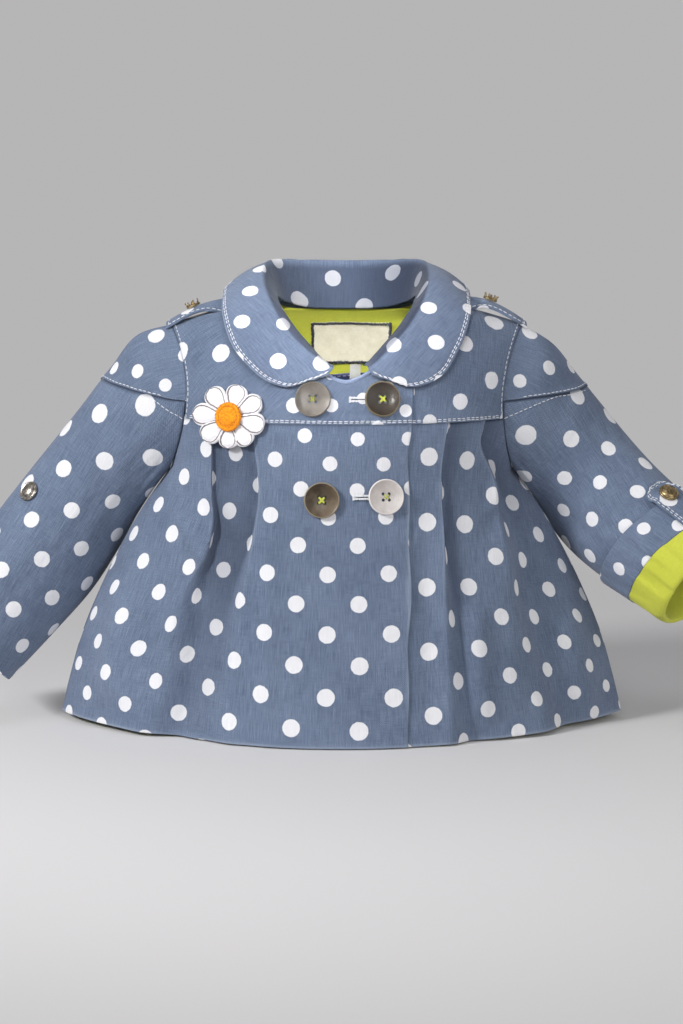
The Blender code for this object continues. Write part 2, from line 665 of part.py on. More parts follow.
def collar(name):
    """Round collar with its stand, folded at the roll line, from tip to tip round the neck."""
    last = len(COLLAR) - 1
    station = np.linspace(0, last, 2 * last + 1)
    seam, roll, edge = (
        np.stack([through(np.arange(last + 1), COLLAR[:, k, axis], station) for axis in range(3)], -1)
        for k in range(3)
    )
    flat = ease((station - 3) / 3)[:, None]
    up = np.array((0.0, 0.0, 1.0)) * (1 - flat) + unit(np.array((0.3, -1.0, 0.35))) * flat
    across = unit(edge - roll)
    high = np.linalg.norm(roll - seam, axis=-1, keepdims=True)
    full = np.clip(np.linalg.norm(edge - roll, axis=-1, keepdims=True) / 0.025, 0.2, 1)
    rows = [seam, seam + (roll - seam) * 0.62 - across * high * 0.05]
    rows += [roll - (across * 0.0012 + up * 0.0008) * full, roll + (across * 0.0016 + up * 0.0003) * full]
    for share in (0.26, 0.5, 0.75, 1.0):
        bulge = (0.0030 * (1 - flat) + 0.0012 * flat) * full * math.sin(math.pi * share)
        rows.append(roll + (edge - roll) * share + up * bulge)
    half = np.array(rows)
    half[:2, :, 2] += 0.0018 * ease((station - 4) / 2)
    face = np.concatenate((half[:, :0:-1] * (-1, 1, 1), half), 1)
    face[..., 0] += 0.0030 * ease((-0.058 - face[..., 1]) / 0.012)
    face[3:] = clear_of_body(face[3:], COLLAR_LIFT)
    return cloth(name, face, wall=COLLAR_WALL)


def label_inside(name, x, z, colour):
    """Label on the inside of the back, lying on the lining."""
    grid_x, grid_z = np.meshgrid(x, z)
    face = on_body(grid_x, grid_z, -(LINING_SINK + WALL + SEAM + 0.0009), True)
    return cloth(name, face, colour=colour)


def back_lining(name):
    """Lime lining inside the back, from the neck seam down to armpit level."""
    share = np.linspace(-1, 1, 17)
    t = np.linspace(0, 1, 7)[:, None]
    top = NECK_BACK - 0.0075 + 0.0015 * np.abs(share) ** 3
    x = share * (0.043 + 0.055 * (1 - t) ** 0.6)
    z = -0.112 + (top + 0.112) * t
    face = on_body(x, z, -LINING_SINK, True)
    return cloth(name, face, colour=LIME)


def daisy_petals(name):
    """Petal layer of the applique, laid on the front and moved out past the pleat edges."""
    turn = np.linspace(0, 2 * math.pi, PETALS * 8, endpoint=False)
    reach = PETAL_REACH - PETAL_DIP * np.abs(np.cos(turn * PETALS / 2)) ** 6
    reach = reach * (1 + 0.035 * np.sin(3 * turn + 0.7) + 0.03 * np.cos(2 * turn))
    rings = [0.02, 0.35, 0.7, 1.0]
    points, faces, count = [], [], len(turn)
    for rise in (DAISY_RISE, DAISY_RISE - 0.0013):
        for ring in rings:
            x, z = DAISY_AT[0] + ring * reach * np.cos(turn), DAISY_AT[1] + ring * reach * np.sin(turn)
            points += list(on_body(x, z, rise))
    for layer in (0, len(rings) * count):
        for ring in range(len(rings) - 1):
            for k in range(count):
                a, b = layer + ring * count + k, layer + ring * count + (k + 1) % count
                faces.append([a, b, b + count, a + count])
        faces.append([layer + k for k in range(count)])
    edge = (len(rings) - 1) * count
    for k in range(count):
        a, b = edge + k, edge + (k + 1) % count
        faces.append([a, b, b + len(rings) * count, a + len(rings) * count])
    return finish(faces, points, name, WHITE, 0.8, 0.0)


def daisy_centre(name):
    """Padded middle of the daisy."""
    profile = ((DAISY_EYE, 0), (DAISY_EYE, 0.0008), (DAISY_EYE * 0.8, 0.0016), (DAISY_EYE * 0.4, 0.0021))
    profile += ((0.0005, 0.0022),)
    at = on_body(*DAISY_AT, DAISY_RISE + SEAM)
    return turned(name, at, body_out(*DAISY_AT), profile, ORANGE, 0.85, 0.0)


def strap(name, middles, across, up, half_width, wall, point_at=None):
    """Strap along middle points; point_at names the share of its length where it starts to taper."""
    t = np.linspace(0, 1, len(middles))
    width = half_width * (np.clip(t / point_at, 0.30, 1) if point_at else np.ones_like(t))
    face = []
    for share in (1, 0.5, 0, -0.5, -1):
        offset = across * (width * share)[:, None] - up * (0.0012 * share**2)
        face.append(middles + offset)
    return cloth(name, np.stack(face, 1), wall=wall)


def strap_middle(side, t):
    """Middle line of a shoulder strap, from under the collar to the top of the sleeve."""
    x = STRAP_FROM + (STRAP_TO - STRAP_FROM) * t
    bow = 0.0030 - 0.0018 * t + STRAP_BOW[side] * np.sin(math.pi * t) ** 0.9
    return np.stack((x, 0.001 + 0 * x, shoulder(x) + STRAP_WALL + bow), -1) * (side, 1, 1)


def epaulette(name, side):
    """Shoulder strap bowed up off the shoulder, its tip resting past the armhole seam."""
    middles = strap_middle(side, np.linspace(0, 1, 10))
    across = np.array((0.0, side * 1.0, 0.0))
    return strap(name, middles, across, np.array((0.0, 0.0, 1.0)), STRAP_HALF, STRAP_WALL, 0.25)


def epaulette_button(name, side):
    """Metal crown on a shoulder strap: a lobed rim round a pointed boss."""
    before, at, after = strap_middle(side, CROWN_AT[side] + np.array((-0.04, 0, 0.04)))
    out = unit(np.cross(after - before, (0.0, side * 1.0, 0.0)))
    profile = ((0.0046, 0), (0.0052, 0.0007), (0.0052, 0.0018), (0.0040, 0.0026), (0.0024, 0.0030))
    profile += ((0.0018, 0.0040), (0.0006, 0.0048))
    return turned(name, at + out * 0.0005, out, profile, BRASS, 0.4, 0.9, lobes=7)


def sleeve_tab(name):
    """Tab of the rolled sleeve: pointed end on the sleeve, then over the turn-up and into it."""
    rows = np.array(
        (  # place, rise, half width
            (0.722, 0.0021, 0.0045),
            (0.738, 0.0022, 0.0120),
            (0.754, 0.0028, 0.0140),
            (0.774, 0.0055, 0.0140),
            (0.800, 0.0056, 0.0140),
            (0.860, 0.0055, 0.0140),
            (0.930, 0.0055, 0.0140),
            (0.990, 0.0054, 0.0140),
        )
    )
    face = []
    for share in (-1, -0.5, 0, 0.5, 1):
        turn = TAB_TURN + share * rows[:, 2] / 0.0415
        face.append(sleeve(1, rows[:, 0], turn, rows[:, 1]))
    return cloth(name, np.stack(face, 1), wall=0.0016)


def snap(name, side, place, phi, rise, radius):
    """Domed snap cap with its rolled rim, on a sleeve or on the tab."""
    step = 0.01
    along = sleeve(side, place + step, phi) - sleeve(side, place - step, phi)
    turn = sleeve(side, place, phi + step) - sleeve(side, place, phi - step)
    out = unit(np.cross(along, turn)) * -side
    profile = ((radius * 0.86, 0), (radius, 0.0005), (radius, 0.0010), (radius * 0.9, 0.0015))
    profile += ((radius * 0.72, 0.0014), (radius * 0.62, 0.0026), (radius * 0.36, 0.0033))
    profile += ((radius * 0.10, 0.0036),)
    at = sleeve(side, place, phi, rise) + out * SEAM
    return turned(name, at, out, profile, BRASS, 0.4, 0.9)


def button(name, x, z, colour):
    """Four-hole coat button: raised rim and dished middle."""
    at = on_body(x, z, LAP_RISE + SEAM)
    out = body_out(x, z)
    profile = ((BUTTON_RADIUS - 0.0010, 0), (BUTTON_RADIUS, 0.0010), (BUTTON_RADIUS, 0.0021))
    profile += ((BUTTON_RADIUS - 0.0010, BUTTON_THICK), (BUTTON_RADIUS - 0.0026, BUTTON_THICK - 0.0002))
    profile += ((BUTTON_RADIUS - 0.0048, BUTTON_THICK - 0.0010), (0.0004, BUTTON_THICK - 0.0012))
    shape = turned(name, at, out, profile, colour, 0.35, 0.1, sides=36)
    sideways = unit(np.cross(out, (0.0, 0.0, 1.0)))
    upward = np.cross(sideways, out)
    for number, (a, b) in enumerate(((-1, -1), (-1, 1), (1, -1), (1, 1))):
        centre = at + sideways * a * 0.0019 + upward * b * 0.0019 - out * 0.002
        lean = np.array((LEAN * float(ease((z + 0.13) / 0.10)), 0, 0))
        bpy.ops.mesh.primitive_cylinder_add(vertices=10, radius=0.0009, depth=0.012)
        cutter = bpy.context.object
        cutter.name = f"{name}_hole_{number}"
        cutter.location = centre + lean
        cutter.rotation_mode = "QUATERNION"
        cutter.rotation_quaternion = Vector(out).to_track_quat("Z", "Y")
        cutter.hide_render, cutter.display_type = True, "WIRE"
        hole = shape.modifiers.new(f"hole_{number}", "BOOLEAN")
        hole.operation, hole.object = "DIFFERENCE", cutter
    return shape


def main():
    for obj in list(bpy.data.objects):
        bpy.data.objects.remove(obj, do_unlink=True)
    for name, side in (("right", -1), ("left", 1)):
        front_skirt(f"front_{name}", side)
        front_yoke(f"yoke_{name}", side)
        sleeve_cap(f"sleeve_{name}_cap", side)
        sleeve_tube(f"sleeve_{name}", side, 1.0 if side < 0 else 0.992)
        epaulette(f"epaulette_{name}", side)
        epaulette_button(f"epaulette_button_{name}", side)
    back_panel("back")
    turned_facing("cuff_facing")
    turned_lining("cuff_lining")
    sleeve_tab("sleeve_tab")
    collar("collar")
    back_lining("back_lining")
    label_inside("neck_label", np.linspace(-0.0262, 0.0340, 7), np.linspace(-0.051, -0.018, 4), CREAM)
    label_inside("size_tag", np.linspace(0.0035, 0.0115, 3), np.linspace(-0.063, -0.0515, 3), WHITE)
    daisy_petals("daisy_petals")
    daisy_centre("daisy_centre")
    for name, (x, z, colour) in BUTTONS.items():
        button(name, x, z, colour)
    for name, at in SNAPS.items():
        snap(name, *at)


main()
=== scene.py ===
"""A toddler's double-breasted swing jacket in dotted denim with a lime lining, dressed piece by
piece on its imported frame. Metres, +Z up, the front faces -Y, the wearer's left is +X."""

import math
import random

import bmesh
import bpy
import numpy as np
from mathutils import Matrix, Vector


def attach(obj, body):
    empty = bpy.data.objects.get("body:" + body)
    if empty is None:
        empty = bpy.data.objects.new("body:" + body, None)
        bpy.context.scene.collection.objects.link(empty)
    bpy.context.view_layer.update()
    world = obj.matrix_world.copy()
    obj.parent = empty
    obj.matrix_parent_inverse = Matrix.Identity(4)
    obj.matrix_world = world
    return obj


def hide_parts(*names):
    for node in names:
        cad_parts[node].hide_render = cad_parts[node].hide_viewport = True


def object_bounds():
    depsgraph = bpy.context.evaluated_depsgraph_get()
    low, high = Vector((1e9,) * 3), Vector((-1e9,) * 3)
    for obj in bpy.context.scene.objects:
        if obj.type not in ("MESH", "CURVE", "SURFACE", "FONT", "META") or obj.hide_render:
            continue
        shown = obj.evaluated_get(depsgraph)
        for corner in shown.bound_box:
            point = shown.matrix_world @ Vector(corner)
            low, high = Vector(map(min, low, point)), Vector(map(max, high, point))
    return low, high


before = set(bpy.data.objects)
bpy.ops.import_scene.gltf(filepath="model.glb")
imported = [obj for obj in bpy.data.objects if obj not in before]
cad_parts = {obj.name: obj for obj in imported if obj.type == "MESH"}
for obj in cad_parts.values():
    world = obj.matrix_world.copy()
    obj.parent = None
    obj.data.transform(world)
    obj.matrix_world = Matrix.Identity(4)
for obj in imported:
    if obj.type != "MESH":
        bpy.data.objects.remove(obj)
frame_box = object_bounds()


# ================================================================ the studio
# The jacket stands filled out on a plain pale floor, whose edge fades into an even grey backdrop.
# A soft light on the left models it, weaker ones stand on the right, in front and above, and a
# narrow one reaches into the neck.

camera = bpy.data.objects.new("camera", bpy.data.cameras.new("camera"))
camera.data.lens = 87.28
camera.location = (0, -1.7825, 0.0955)
camera.rotation_euler = (math.radians(82), 0, 0)
bpy.context.scene.collection.objects.link(camera)
bpy.context.scene.camera = camera
bpy.context.scene.view_settings.view_transform = "Standard"


def soft_light(name, place, aim, size, watts):
    lamp = bpy.data.objects.new(name, bpy.data.lights.new(name, "AREA"))
    lamp.data.shape, lamp.data.size, lamp.data.energy = "DISK", size, watts
    lamp.location = place
    lamp.rotation_euler = (Vector(aim) - Vector(place)).to_track_quat("-Z", "Y").to_euler()
    bpy.context.scene.collection.objects.link(lamp)


soft_light("key", (-1.50, -1.10, 0.92), (0, 0, -0.16), 0.50, 38)
soft_light("fill", (1.40, -1.50, 0.45), (0, 0, -0.16), 1.20, 13)
soft_light("front", (-0.20, -2.10, 0.55), (0, 0, -0.10), 0.70, 7)
soft_light("overhead", (-0.30, -0.30, 1.60), (0, 0, -0.20), 1.10, 4)
soft_light("neck", (0.02, -0.75, 0.30), (0, 0.06, -0.045), 0.10, 0.075)
bpy.data.lights["neck"].spread = math.radians(16)


class Wire:
    """An output of a material's nodes. Sums and products of wires add its Math nodes, and node()
    adds any other node from its settings and from the values or wires of its sockets."""

    def __init__(self, socket):
        self.socket = socket

    def node(self, kind, settings, sockets, output=0):
        tree = self.socket.id_data
        made = tree.nodes.new("ShaderNode" + kind)
        for setting, value in settings.items():
            if setting == "stops":
                for number, (place, colour) in enumerate(value):
                    ramp = made.color_ramp.elements
                    stop = ramp[number] if number < len(ramp) else ramp.new(place)
                    stop.position, stop.color = place, (*colour, 1)
            else:
                setattr(made, setting, value)
        for socket, value in sockets.items():
            if isinstance(value, Wire):
                tree.links.new(value.socket, made.inputs[socket])
            else:
                made.inputs[socket].default_value = value
        return Wire(made.outputs[output])

    def maths(self, operation, *others):
        return self.node("Math", {"operation": operation}, dict(enumerate((self, *others))))

    def __add__(self, other):
        return self.maths("ADD", other)

    def __sub__(self, other):
        return self.maths("SUBTRACT", other)

    def __mul__(self, other):
        return self.maths("MULTIPLY", other)

    def __rsub__(self, other):
        return self * -1 + other

    def __pow__(self, power):
        return self.maths("POWER", power)

    __radd__, __rmul__ = __add__, __mul__

    def between(self, low, high):
        """0 below low, 1 above high, smooth between them."""
        sockets = {0: self, "From Min": low, "From Max": high}
        return self.node("MapRange", {"interpolation_type": "SMOOTHSTEP"}, sockets)

    def parts(self):
        return [self.node("SeparateXYZ", {}, {0: self}, axis) for axis in range(3)]

    def noise(self, scale, detail=2.0, roughness=0.5):
        sockets = {"Vector": self, "Scale": scale, "Detail": detail, "Roughness": roughness}
        return self.node("TexNoise", {}, sockets)

    def stretched(self, across, along, deep=1.0):
        return self.node("Mapping", {}, {"Vector": self, "Scale": (across, along, deep)})

    def blend(self, first, second):
        """The first colour where this is 0, the second where it is 1."""
        colours = [(*c, 1) if isinstance(c, tuple) else c for c in (first, second)]
        sockets = {0: self, 6: colours[0], 7: colours[1]}
        return self.node("Mix", {"data_type": "RGBA"}, sockets, 2)

    def bump(self, depth, strength=1.0):
        sockets = {"Height": self, "Distance": depth, "Strength": strength}
        return self.node("Bump", {}, sockets)


def new_finish(name, **constants):
    """A material, its shader, and wires for its cloth coordinates and its place on the object."""
    finish = bpy.data.materials.new(name)
    finish.use_nodes = True
    surface = finish.node_tree.nodes["Principled BSDF"]
    for slot, value in constants.items():
        surface.inputs[slot.replace("_", " ")].default_value = value
    coordinates = finish.node_tree.nodes.new("ShaderNodeTexCoord")
    cloth_place, place = (Wire(coordinates.outputs[key]) for key in ("UV", "Object"))
    return finish, surface, cloth_place, place


def feed(surface, **wires):
    """Joins wires to the sockets of a shader that they are named after."""
    for slot, wire in wires.items():
        wire.socket.id_data.links.new(wire.socket, surface.inputs[slot.replace("_", " ")])


def object_of(name, mesh):
    """The object of a finished mesh, in the scene."""
    data = bpy.data.meshes.new(name)
    mesh.to_mesh(data)
    mesh.free()
    shape = bpy.data.objects.new(name, data)
    bpy.context.scene.collection.objects.link(shape)
    return shape


backdrop = bpy.data.worlds.new("backdrop")
backdrop.use_nodes = True
bpy.context.scene.world = backdrop
around = Wire(backdrop.node_tree.nodes.new("ShaderNodeTexCoord").outputs["Generated"])
behind = around.parts()[1].between(-0.35, 0.75)
glow = behind.blend((0.170, 0.172, 0.180), (0.472, 0.466, 0.472))
backdrop.node_tree.links.new(glow.socket, backdrop.node_tree.nodes["Background"].inputs["Color"])

FLOOR_RADIUS, FADE_START, FADE_END = 1.1, 0.32, 0.95
paper, surface, _, place = new_finish("pale_floor", Roughness=0.75, Specular_IOR_Level=0.15)
across, along, _ = place.parts()
from_middle = (across * across + along * along) ** 0.5
feed(surface, Alpha=1 - from_middle.between(FADE_START, FADE_END))
feed(surface, Base_Color=place.noise(3.0).blend((0.645, 0.635, 0.64), (0.675, 0.665, 0.67)))
mesh = bmesh.new()
bmesh.ops.create_circle(mesh, cap_ends=True, segments=96, radius=FLOOR_RADIUS)
bmesh.ops.translate(mesh, vec=(0, 0, frame_box[0].z - 0.0005), verts=mesh.verts)
floor = object_of("floor", mesh)
floor.data.materials.append(paper)


# ================================================================ the cloth
# Light blue-grey denim, woven a little uneven, with white dots printed in a square pattern that
# stands on its corner. Inside it hangs a plain lime cotton lining, which shows at neck and cuff.

DOT_ACROSS, DOT_DOWN, DOT_RADIUS, DOT_BLUR = 0.0455, 0.0435, 0.0061, 0.00028
TWILL_PITCH = 0.00125
FACED_EDGE = 0.0065  # how far the denim shows inside a lined piece's edges
FOLD_TURN = 170  # how far round a folded edge goes, in degrees


def attribute(surface, name):
    """A wire for the values that a piece holds under a name."""
    node = surface.id_data.nodes.new("ShaderNodeAttribute")
    node.attribute_name = name
    return Wire(node.outputs["Fac"])


def denim_finish():
    finish, surface, cloth_place, _ = new_finish(
        "dotted_denim", Sheen_Weight=0.12, Sheen_Roughness=0.5, Specular_IOR_Level=0.18
    )
    u, v, _ = cloth_place.parts()
    warp = cloth_place.stretched(1500, 70).noise(1.0, 3.0, 0.6)
    weft = cloth_place.stretched(90, 1300).noise(1.0, 2.0, 0.6)
    fine = cloth_place.noise(1500, 2.0, 0.7)
    cloud = cloth_place.noise(16, 4.0, 0.65)
    crumple = cloth_place.noise(42, 3.0, 0.55)
    twill = ((u + v * 0.9) * (2 * math.pi / TWILL_PITCH)).maths("SINE")
    yarn = warp * 0.44 + weft * 0.18 + fine * 0.34 + twill * 0.045
    shade = (yarn + cloud * 0.26).between(0.34, 0.90)
    blue = shade.blend((0.054, 0.079, 0.136), (0.218, 0.272, 0.378))
    # An attribute on each piece pales the denim above 0, for worn edges and a painted highlight
    # along pleat folds. Below 0 it darkens the denim towards deep indigo as painted shade in seams,
    # in pleat hollows and on the collar.
    wear_light_shade = attribute(surface, "wear_and_painted_light")
    dark = (wear_light_shade * -1).between(0.0, 1.0)
    blue = (wear_light_shade.between(0.0, 1.0) * (0.55 + fine * 0.6)).blend(blue, (0.36, 0.42, 0.53))
    blue = dark.blend(blue, (0.030, 0.040, 0.068))
    wobble = cloth_place.noise(420, 2.0) * 0.0009 - 0.00045
    steps = []
    for sign in (1, -1):  # the half puts a dot at the origin, the thousand keeps steps above 0
        step = u * (1 / DOT_ACROSS) + v * (sign / DOT_DOWN) + 1000.5
        steps.append(step.maths("FRACT") - 0.5)
    beside = (steps[0] + steps[1]) * (DOT_ACROSS / 2)
    above = (steps[0] - steps[1]) * (DOT_DOWN / 2)
    reach = (beside * beside + above * above) ** 0.5 + wobble
    dot = 1 - reach.between(DOT_RADIUS - DOT_BLUR, DOT_RADIUS + DOT_BLUR)
    white = (yarn + cloud * 0.1).between(0.25, 0.95)
    # Painted shade greys the dots as well.
    white = dark.blend(white.blend((0.66, 0.66, 0.69), (0.87, 0.87, 0.89)), (0.25, 0.26, 0.30))
    feed(surface, Base_Color=dot.blend(blue, white))
    feed(surface, Roughness=0.93 - dot * 0.10)
    weave = warp * 0.5 + weft * 0.4 + twill * 0.16 + fine * 0.3 - dot * 0.12
    feed(surface, Normal=(weave * 0.00020 + crumple * 0.0021).bump(1.0, 0.9))
    return finish


def lining_finish():
    finish, surface, cloth_place, _ = new_finish(
        "lime_cotton", Sheen_Weight=0.10, Specular_IOR_Level=0.2
    )
    warp = cloth_place.stretched(1700, 200).noise(1.0, 2.0)
    weft = cloth_place.stretched(200, 1700).noise(1.0, 2.0)
    cloud = cloth_place.noise(25, 3.0)
    shade = (warp * 0.3 + weft * 0.3 + cloud * 0.4).between(0.3, 0.75)
    feed(surface, Base_Color=shade.blend((0.47, 0.50, 0.050), (0.60, 0.62, 0.080)))
    feed(surface, Roughness=0.80 + warp * 0.1)
    feed(surface, Normal=(warp + weft).bump(0.00012, 0.6))
    return finish


denim, lime = denim_finish(), lining_finish()


def unit(vectors):
    return vectors / np.maximum(np.linalg.norm(vectors, axis=-1, keepdims=True), 1e-12)


def facing(points):
    """Unit directions square to a grid of points."""
    rows, columns = (np.gradient(points, axis=axis) for axis in (0, 1))
    return unit(np.cross(columns, rows))


def outward(points, heart):
    """The grid with its columns in the order that makes it face away from a place."""
    if np.sum(facing(points) * (points - np.asarray(heart))) < 0:
        points = points[:, ::-1]
    return points


def lengths(points, axis):
    """Distance along a grid from its first row or column."""
    step = np.linalg.norm(np.diff(points, axis=axis), axis=-1)
    return np.concatenate((np.zeros_like(np.take(step, [0], axis)), np.cumsum(step, axis)), axis)


def lengths_back(points, axis):
    """Distance along a grid from its last row or column."""
    return np.flip(lengths(np.flip(points, axis), axis), axis)


def turned_edge(points, side, radius):
    """The grid with one edge folded round to the inside: side is first or last, of its rows, or
    left or right, of its columns."""
    out = facing(points)
    if side in ("left", "right"):
        points, out = points.transpose(1, 0, 2), out.transpose(1, 0, 2)
    if side in ("last", "right"):
        points, out = points[::-1], out[::-1]
    clear = np.mean(lengths(points, 0), axis=1) > 1.4 * radius
    kept = points[clear]
    away = unit(points[0] - kept[0])
    start = points[0] - away * radius
    turn = np.radians(np.linspace(0, FOLD_TURN, 7))[::-1, None, None]
    fold = start + radius * (away * np.sin(turn) - out[0] * (1 - np.cos(turn)))
    points = np.concatenate((fold, kept))
    if side in ("last", "right"):
        points = points[::-1]
    return points.transpose(1, 0, 2) if side in ("left", "right") else points


def area_of(points):
    one, two = points[1:, 1:] - points[:-1, :-1], points[1:, :-1] - points[:-1, 1:]
    return np.linalg.norm(np.cross(one, two), axis=-1).sum() / 2


def corners_of(data):
    """The number of the point at each corner of a mesh's faces."""
    corner = np.zeros(len(data.loops), np.int32)
    data.loops.foreach_get("vertex_index", corner)
    return corner


def as_prints(flat, points, dot_at):
    """Cloth coordinates from flat places, moved so that a dot of the print lies at a place."""
    if dot_at is not None:
        away = np.linalg.norm(points - np.asarray(dot_at), axis=-1)
        flat = flat - flat.reshape(-1)[np.argmin(away)]
    return np.stack((flat.real, flat.imag), -1)


def laid_flat(piece, points, dot_at, spine, base, spread, closer, shift):
    """Cloth coordinates of a piece, laid flat as it was cut, with its spine column straight and
    upright. spread opens the pattern out downwards from the base row, closer draws its dots
    together, and shift moves it sideways by the cloth that is hidden in pleats."""
    bpy.context.view_layer.objects.active = piece
    bpy.ops.object.mode_set(mode="EDIT")
    bpy.ops.mesh.select_all(action="SELECT")
    bpy.ops.uv.unwrap(method="CONFORMAL", margin=0)
    bpy.ops.object.mode_set(mode="OBJECT")
    corner = corners_of(piece.data)
    read = np.zeros(len(corner) * 2, np.float32)
    piece.data.uv_layers["cloth"].data.foreach_get("uv", read)
    flat = np.zeros((points.shape[0] * points.shape[1], 2))
    flat[corner] = read.reshape(-1, 2)
    flat = flat.reshape(*points.shape[:2], 2)
    scale = math.sqrt(area_of(points) / area_of(np.dstack((flat, flat[..., :1] * 0))))
    flat = (flat[..., 0] + 1j * flat[..., 1]) * scale
    grain = flat[::-1, spine]
    quarter = len(grain) // 4 if spread else len(grain) - 1
    start, end = grain[quarter] - grain[0], grain[-1] - grain[-1 - quarter]
    flat = (flat - flat[base, spine]) * -1j * abs(start) / start
    if spread:
        spread = spread + 1j * np.angle(end / start) / (0.75 * np.sum(np.abs(np.diff(grain))))
        away = np.log(1 + spread * 1j * flat) / spread
        flat = away.imag - 1j * away.real
    return as_prints(flat * closer + shift, points, dot_at)


def panel(
    name, points, dot_at=None, spine=0, base=0, spread=0.0, closer=1.0, wall=0.0008,
    ring=False, finishes=(denim, lime), wear_and_painted_light=None, backed=None, prints=None, shift=0.0,
):
    """A piece of cloth on a grid of points. Its second finish lies inside, apart from its edges and
    the places that are backed, where both sides have the first. The columns of a ring meet.
    wear_and_painted_light is paler above 0, for wear and painted highlight, and darker below it,
    for painted shade."""
    rows, columns = points.shape[:2]
    mesh = bmesh.new()
    bmesh.ops.create_grid(mesh, x_segments=columns - 1, y_segments=rows - 1, size=1)
    piece = object_of(name, mesh)
    data = piece.data
    data.vertices.foreach_set("co", points.reshape(-1).astype(np.float32))
    wear_light_shade = np.zeros((rows, columns)) if wear_and_painted_light is None else np.broadcast_to(wear_and_painted_light, (rows, columns))
    wear_light_shade = wear_light_shade.reshape(-1).astype(np.float32)
    data.attributes.new("wear_and_painted_light", "FLOAT", "POINT").data.foreach_set("value", wear_light_shade)
    data.uv_layers.new(name="cloth")
    if prints is None and finishes[0] == denim:
        prints = laid_flat(piece, points, dot_at, spine, base, spread, closer, shift)
    elif prints is None:
        prints = np.stack((lengths(points, 1), lengths(points, 0)), -1)
    corner = corners_of(data)
    places = prints.reshape(-1, 2)[corner].reshape(-1).astype(np.float32)
    data.uv_layers["cloth"].data.foreach_set("uv", places)
    if finishes[0] != finishes[1]:
        reach = [lengths(points, 0), lengths_back(points, 0)]
        if not ring:
            reach += [lengths(points, 1), lengths_back(points, 1)]
        plain = np.min(reach, 0) < FACED_EDGE
        plain = plain if backed is None else plain | backed
        faced = plain.reshape(-1)[corner].reshape(-1, 4).any(1)
        data.polygons.foreach_set("material_index", faced.astype(np.int32) * 2)
    if ring:
        mesh = bmesh.new()
        mesh.from_mesh(data)
        bmesh.ops.remove_doubles(mesh, verts=mesh.verts, dist=1e-7)
        mesh.to_mesh(data)
        mesh.free()
    for finish in (*finishes, finishes[0], finishes[0]):
        data.materials.append(finish)
    data.shade_smooth()
    shell = piece.modifiers.new("wall", "SOLIDIFY")
    shell.thickness, shell.offset, shell.use_even_offset = wall, -1, False
    shell.material_offset, shell.material_offset_rim, shell.thickness_clamp = 1, 0, 1.2
    return piece


def cut_of(points):
    """Width, length and area of a piece laid flat."""
    width, length = lengths(points, 1)[:, -1].max(), lengths(points, 0)[-1].max()
    return width, length, min(area_of(points), 1.0009 * width * length)


def declared(piece, node=None):
    """Hangs a piece under the root, and hides the frame's node that it stands for if there is one.
    """
    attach(piece, "root")
    if node:
        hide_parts(node)


def sewn_in(piece, node, points):
    """Hangs a piece of cloth under the root and hides the node it stands for. The size it was cut
    to is worked out but not used.
    """
    declared(piece, node)
    width, length, area = cut_of(points)


# ================================================================ the skirts of the two fronts
# Each front hangs from the yoke seam with two knife pleats that open on the way down. The wearer's
# right one laps over the left. They are cut wider at the hem; their free edges are folded in.

ARMPIT, CHEST_FLARE, YOKE_SEAM, LEAN = -0.122, 0.09, -0.0835, 0.0035
HEM_FRONT, HEM_SIDE, HEM_BACK, HEM_HALF = -0.306, -0.3015, -0.304, 0.2050
SHOULDER_TIP, SHOULDER_TOP, SHOULDER_FALL = 0.1255, 0.0030, 0.0220
NECK, NECK_FRONT, NECK_BACK = 0.0540, -0.0545, -0.0080
LAP, UNDER_LAP, LAP_RISE = 0.047, 0.030, 0.0017
SEAM_TUCK, SEAM_BEND = 0.0030, 0.28  # how far cloth turns in along a seam, and where it bends
PLEAT_CLOTH, PLEATS_OPEN = 0.017, -0.150  # what a shut pleat hides, and the level it opens below
BODY = np.array(
    (  # z, half_width, front_depth, back_depth, how pointed the sides are
        (-0.308, 0.2065, 0.1050, 0.0980, 1.60),
        (-0.275, 0.1985, 0.1010, 0.0940, 1.50),
        (-0.248, 0.1905, 0.0975, 0.0900, 1.42),
        (-0.212, 0.1755, 0.0925, 0.0840, 1.32),
        (-0.182, 0.1615, 0.0885, 0.0790, 1.24),
        (-0.155, 0.1465, 0.0850, 0.0750, 1.18),
        (-0.135, 0.1330, 0.0820, 0.0725, 1.12),
        (-0.122, 0.1236, 0.0800, 0.0715, 1.10),
    )
)


def through(keys, values, at):
    """Smooth curve through values at ascending keys; the values may be rows of numbers."""
    keys, values, at = np.asarray(keys, float), np.asarray(values, float), np.asarray(at, float)
    slopes = np.gradient(values, keys, axis=0)
    i = np.clip(np.searchsorted(keys, at) - 1, 0, len(keys) - 2)
    width = keys[i + 1] - keys[i]
    t = np.clip((at - keys[i]) / width, 0, 1)
    wide = (...,) + (None,) * (values.ndim - 1)
    width, t = width[wide], t[wide]
    ends = (1 + 2 * t) * (1 - t) ** 2 * values[i] + t * t * (3 - 2 * t) * values[i + 1]
    return ends + t * (1 - t) * width * ((1 - t) * slopes[i] - t * slopes[i + 1])


def ease(t):
    t = np.clip(t, 0, 1)
    return t * t * (3 - 2 * t)


def hump(distance, width):
    """1 at no distance, fading to nothing within about twice the width."""
    return np.exp(-((distance / width) ** 2))


def shoulder(x):
    return SHOULDER_TOP - SHOULDER_FALL * (np.abs(x) / SHOULDER_TIP) ** 2


def below_shoulder(x, z):
    """Share of the way down from the shoulder to the armpit."""
    return np.clip((shoulder(x) - z) / (shoulder(x) - ARMPIT), 0, 1)


def level_at(x, w):
    """The level at such a share."""
    return (1 - w) * shoulder(x) + w * ARMPIT


def neckline(x):
    """The level of the neck's front edge."""
    return NECK_FRONT * (1 - np.clip(np.abs(x) / NECK, 0, 1) ** 1.7)


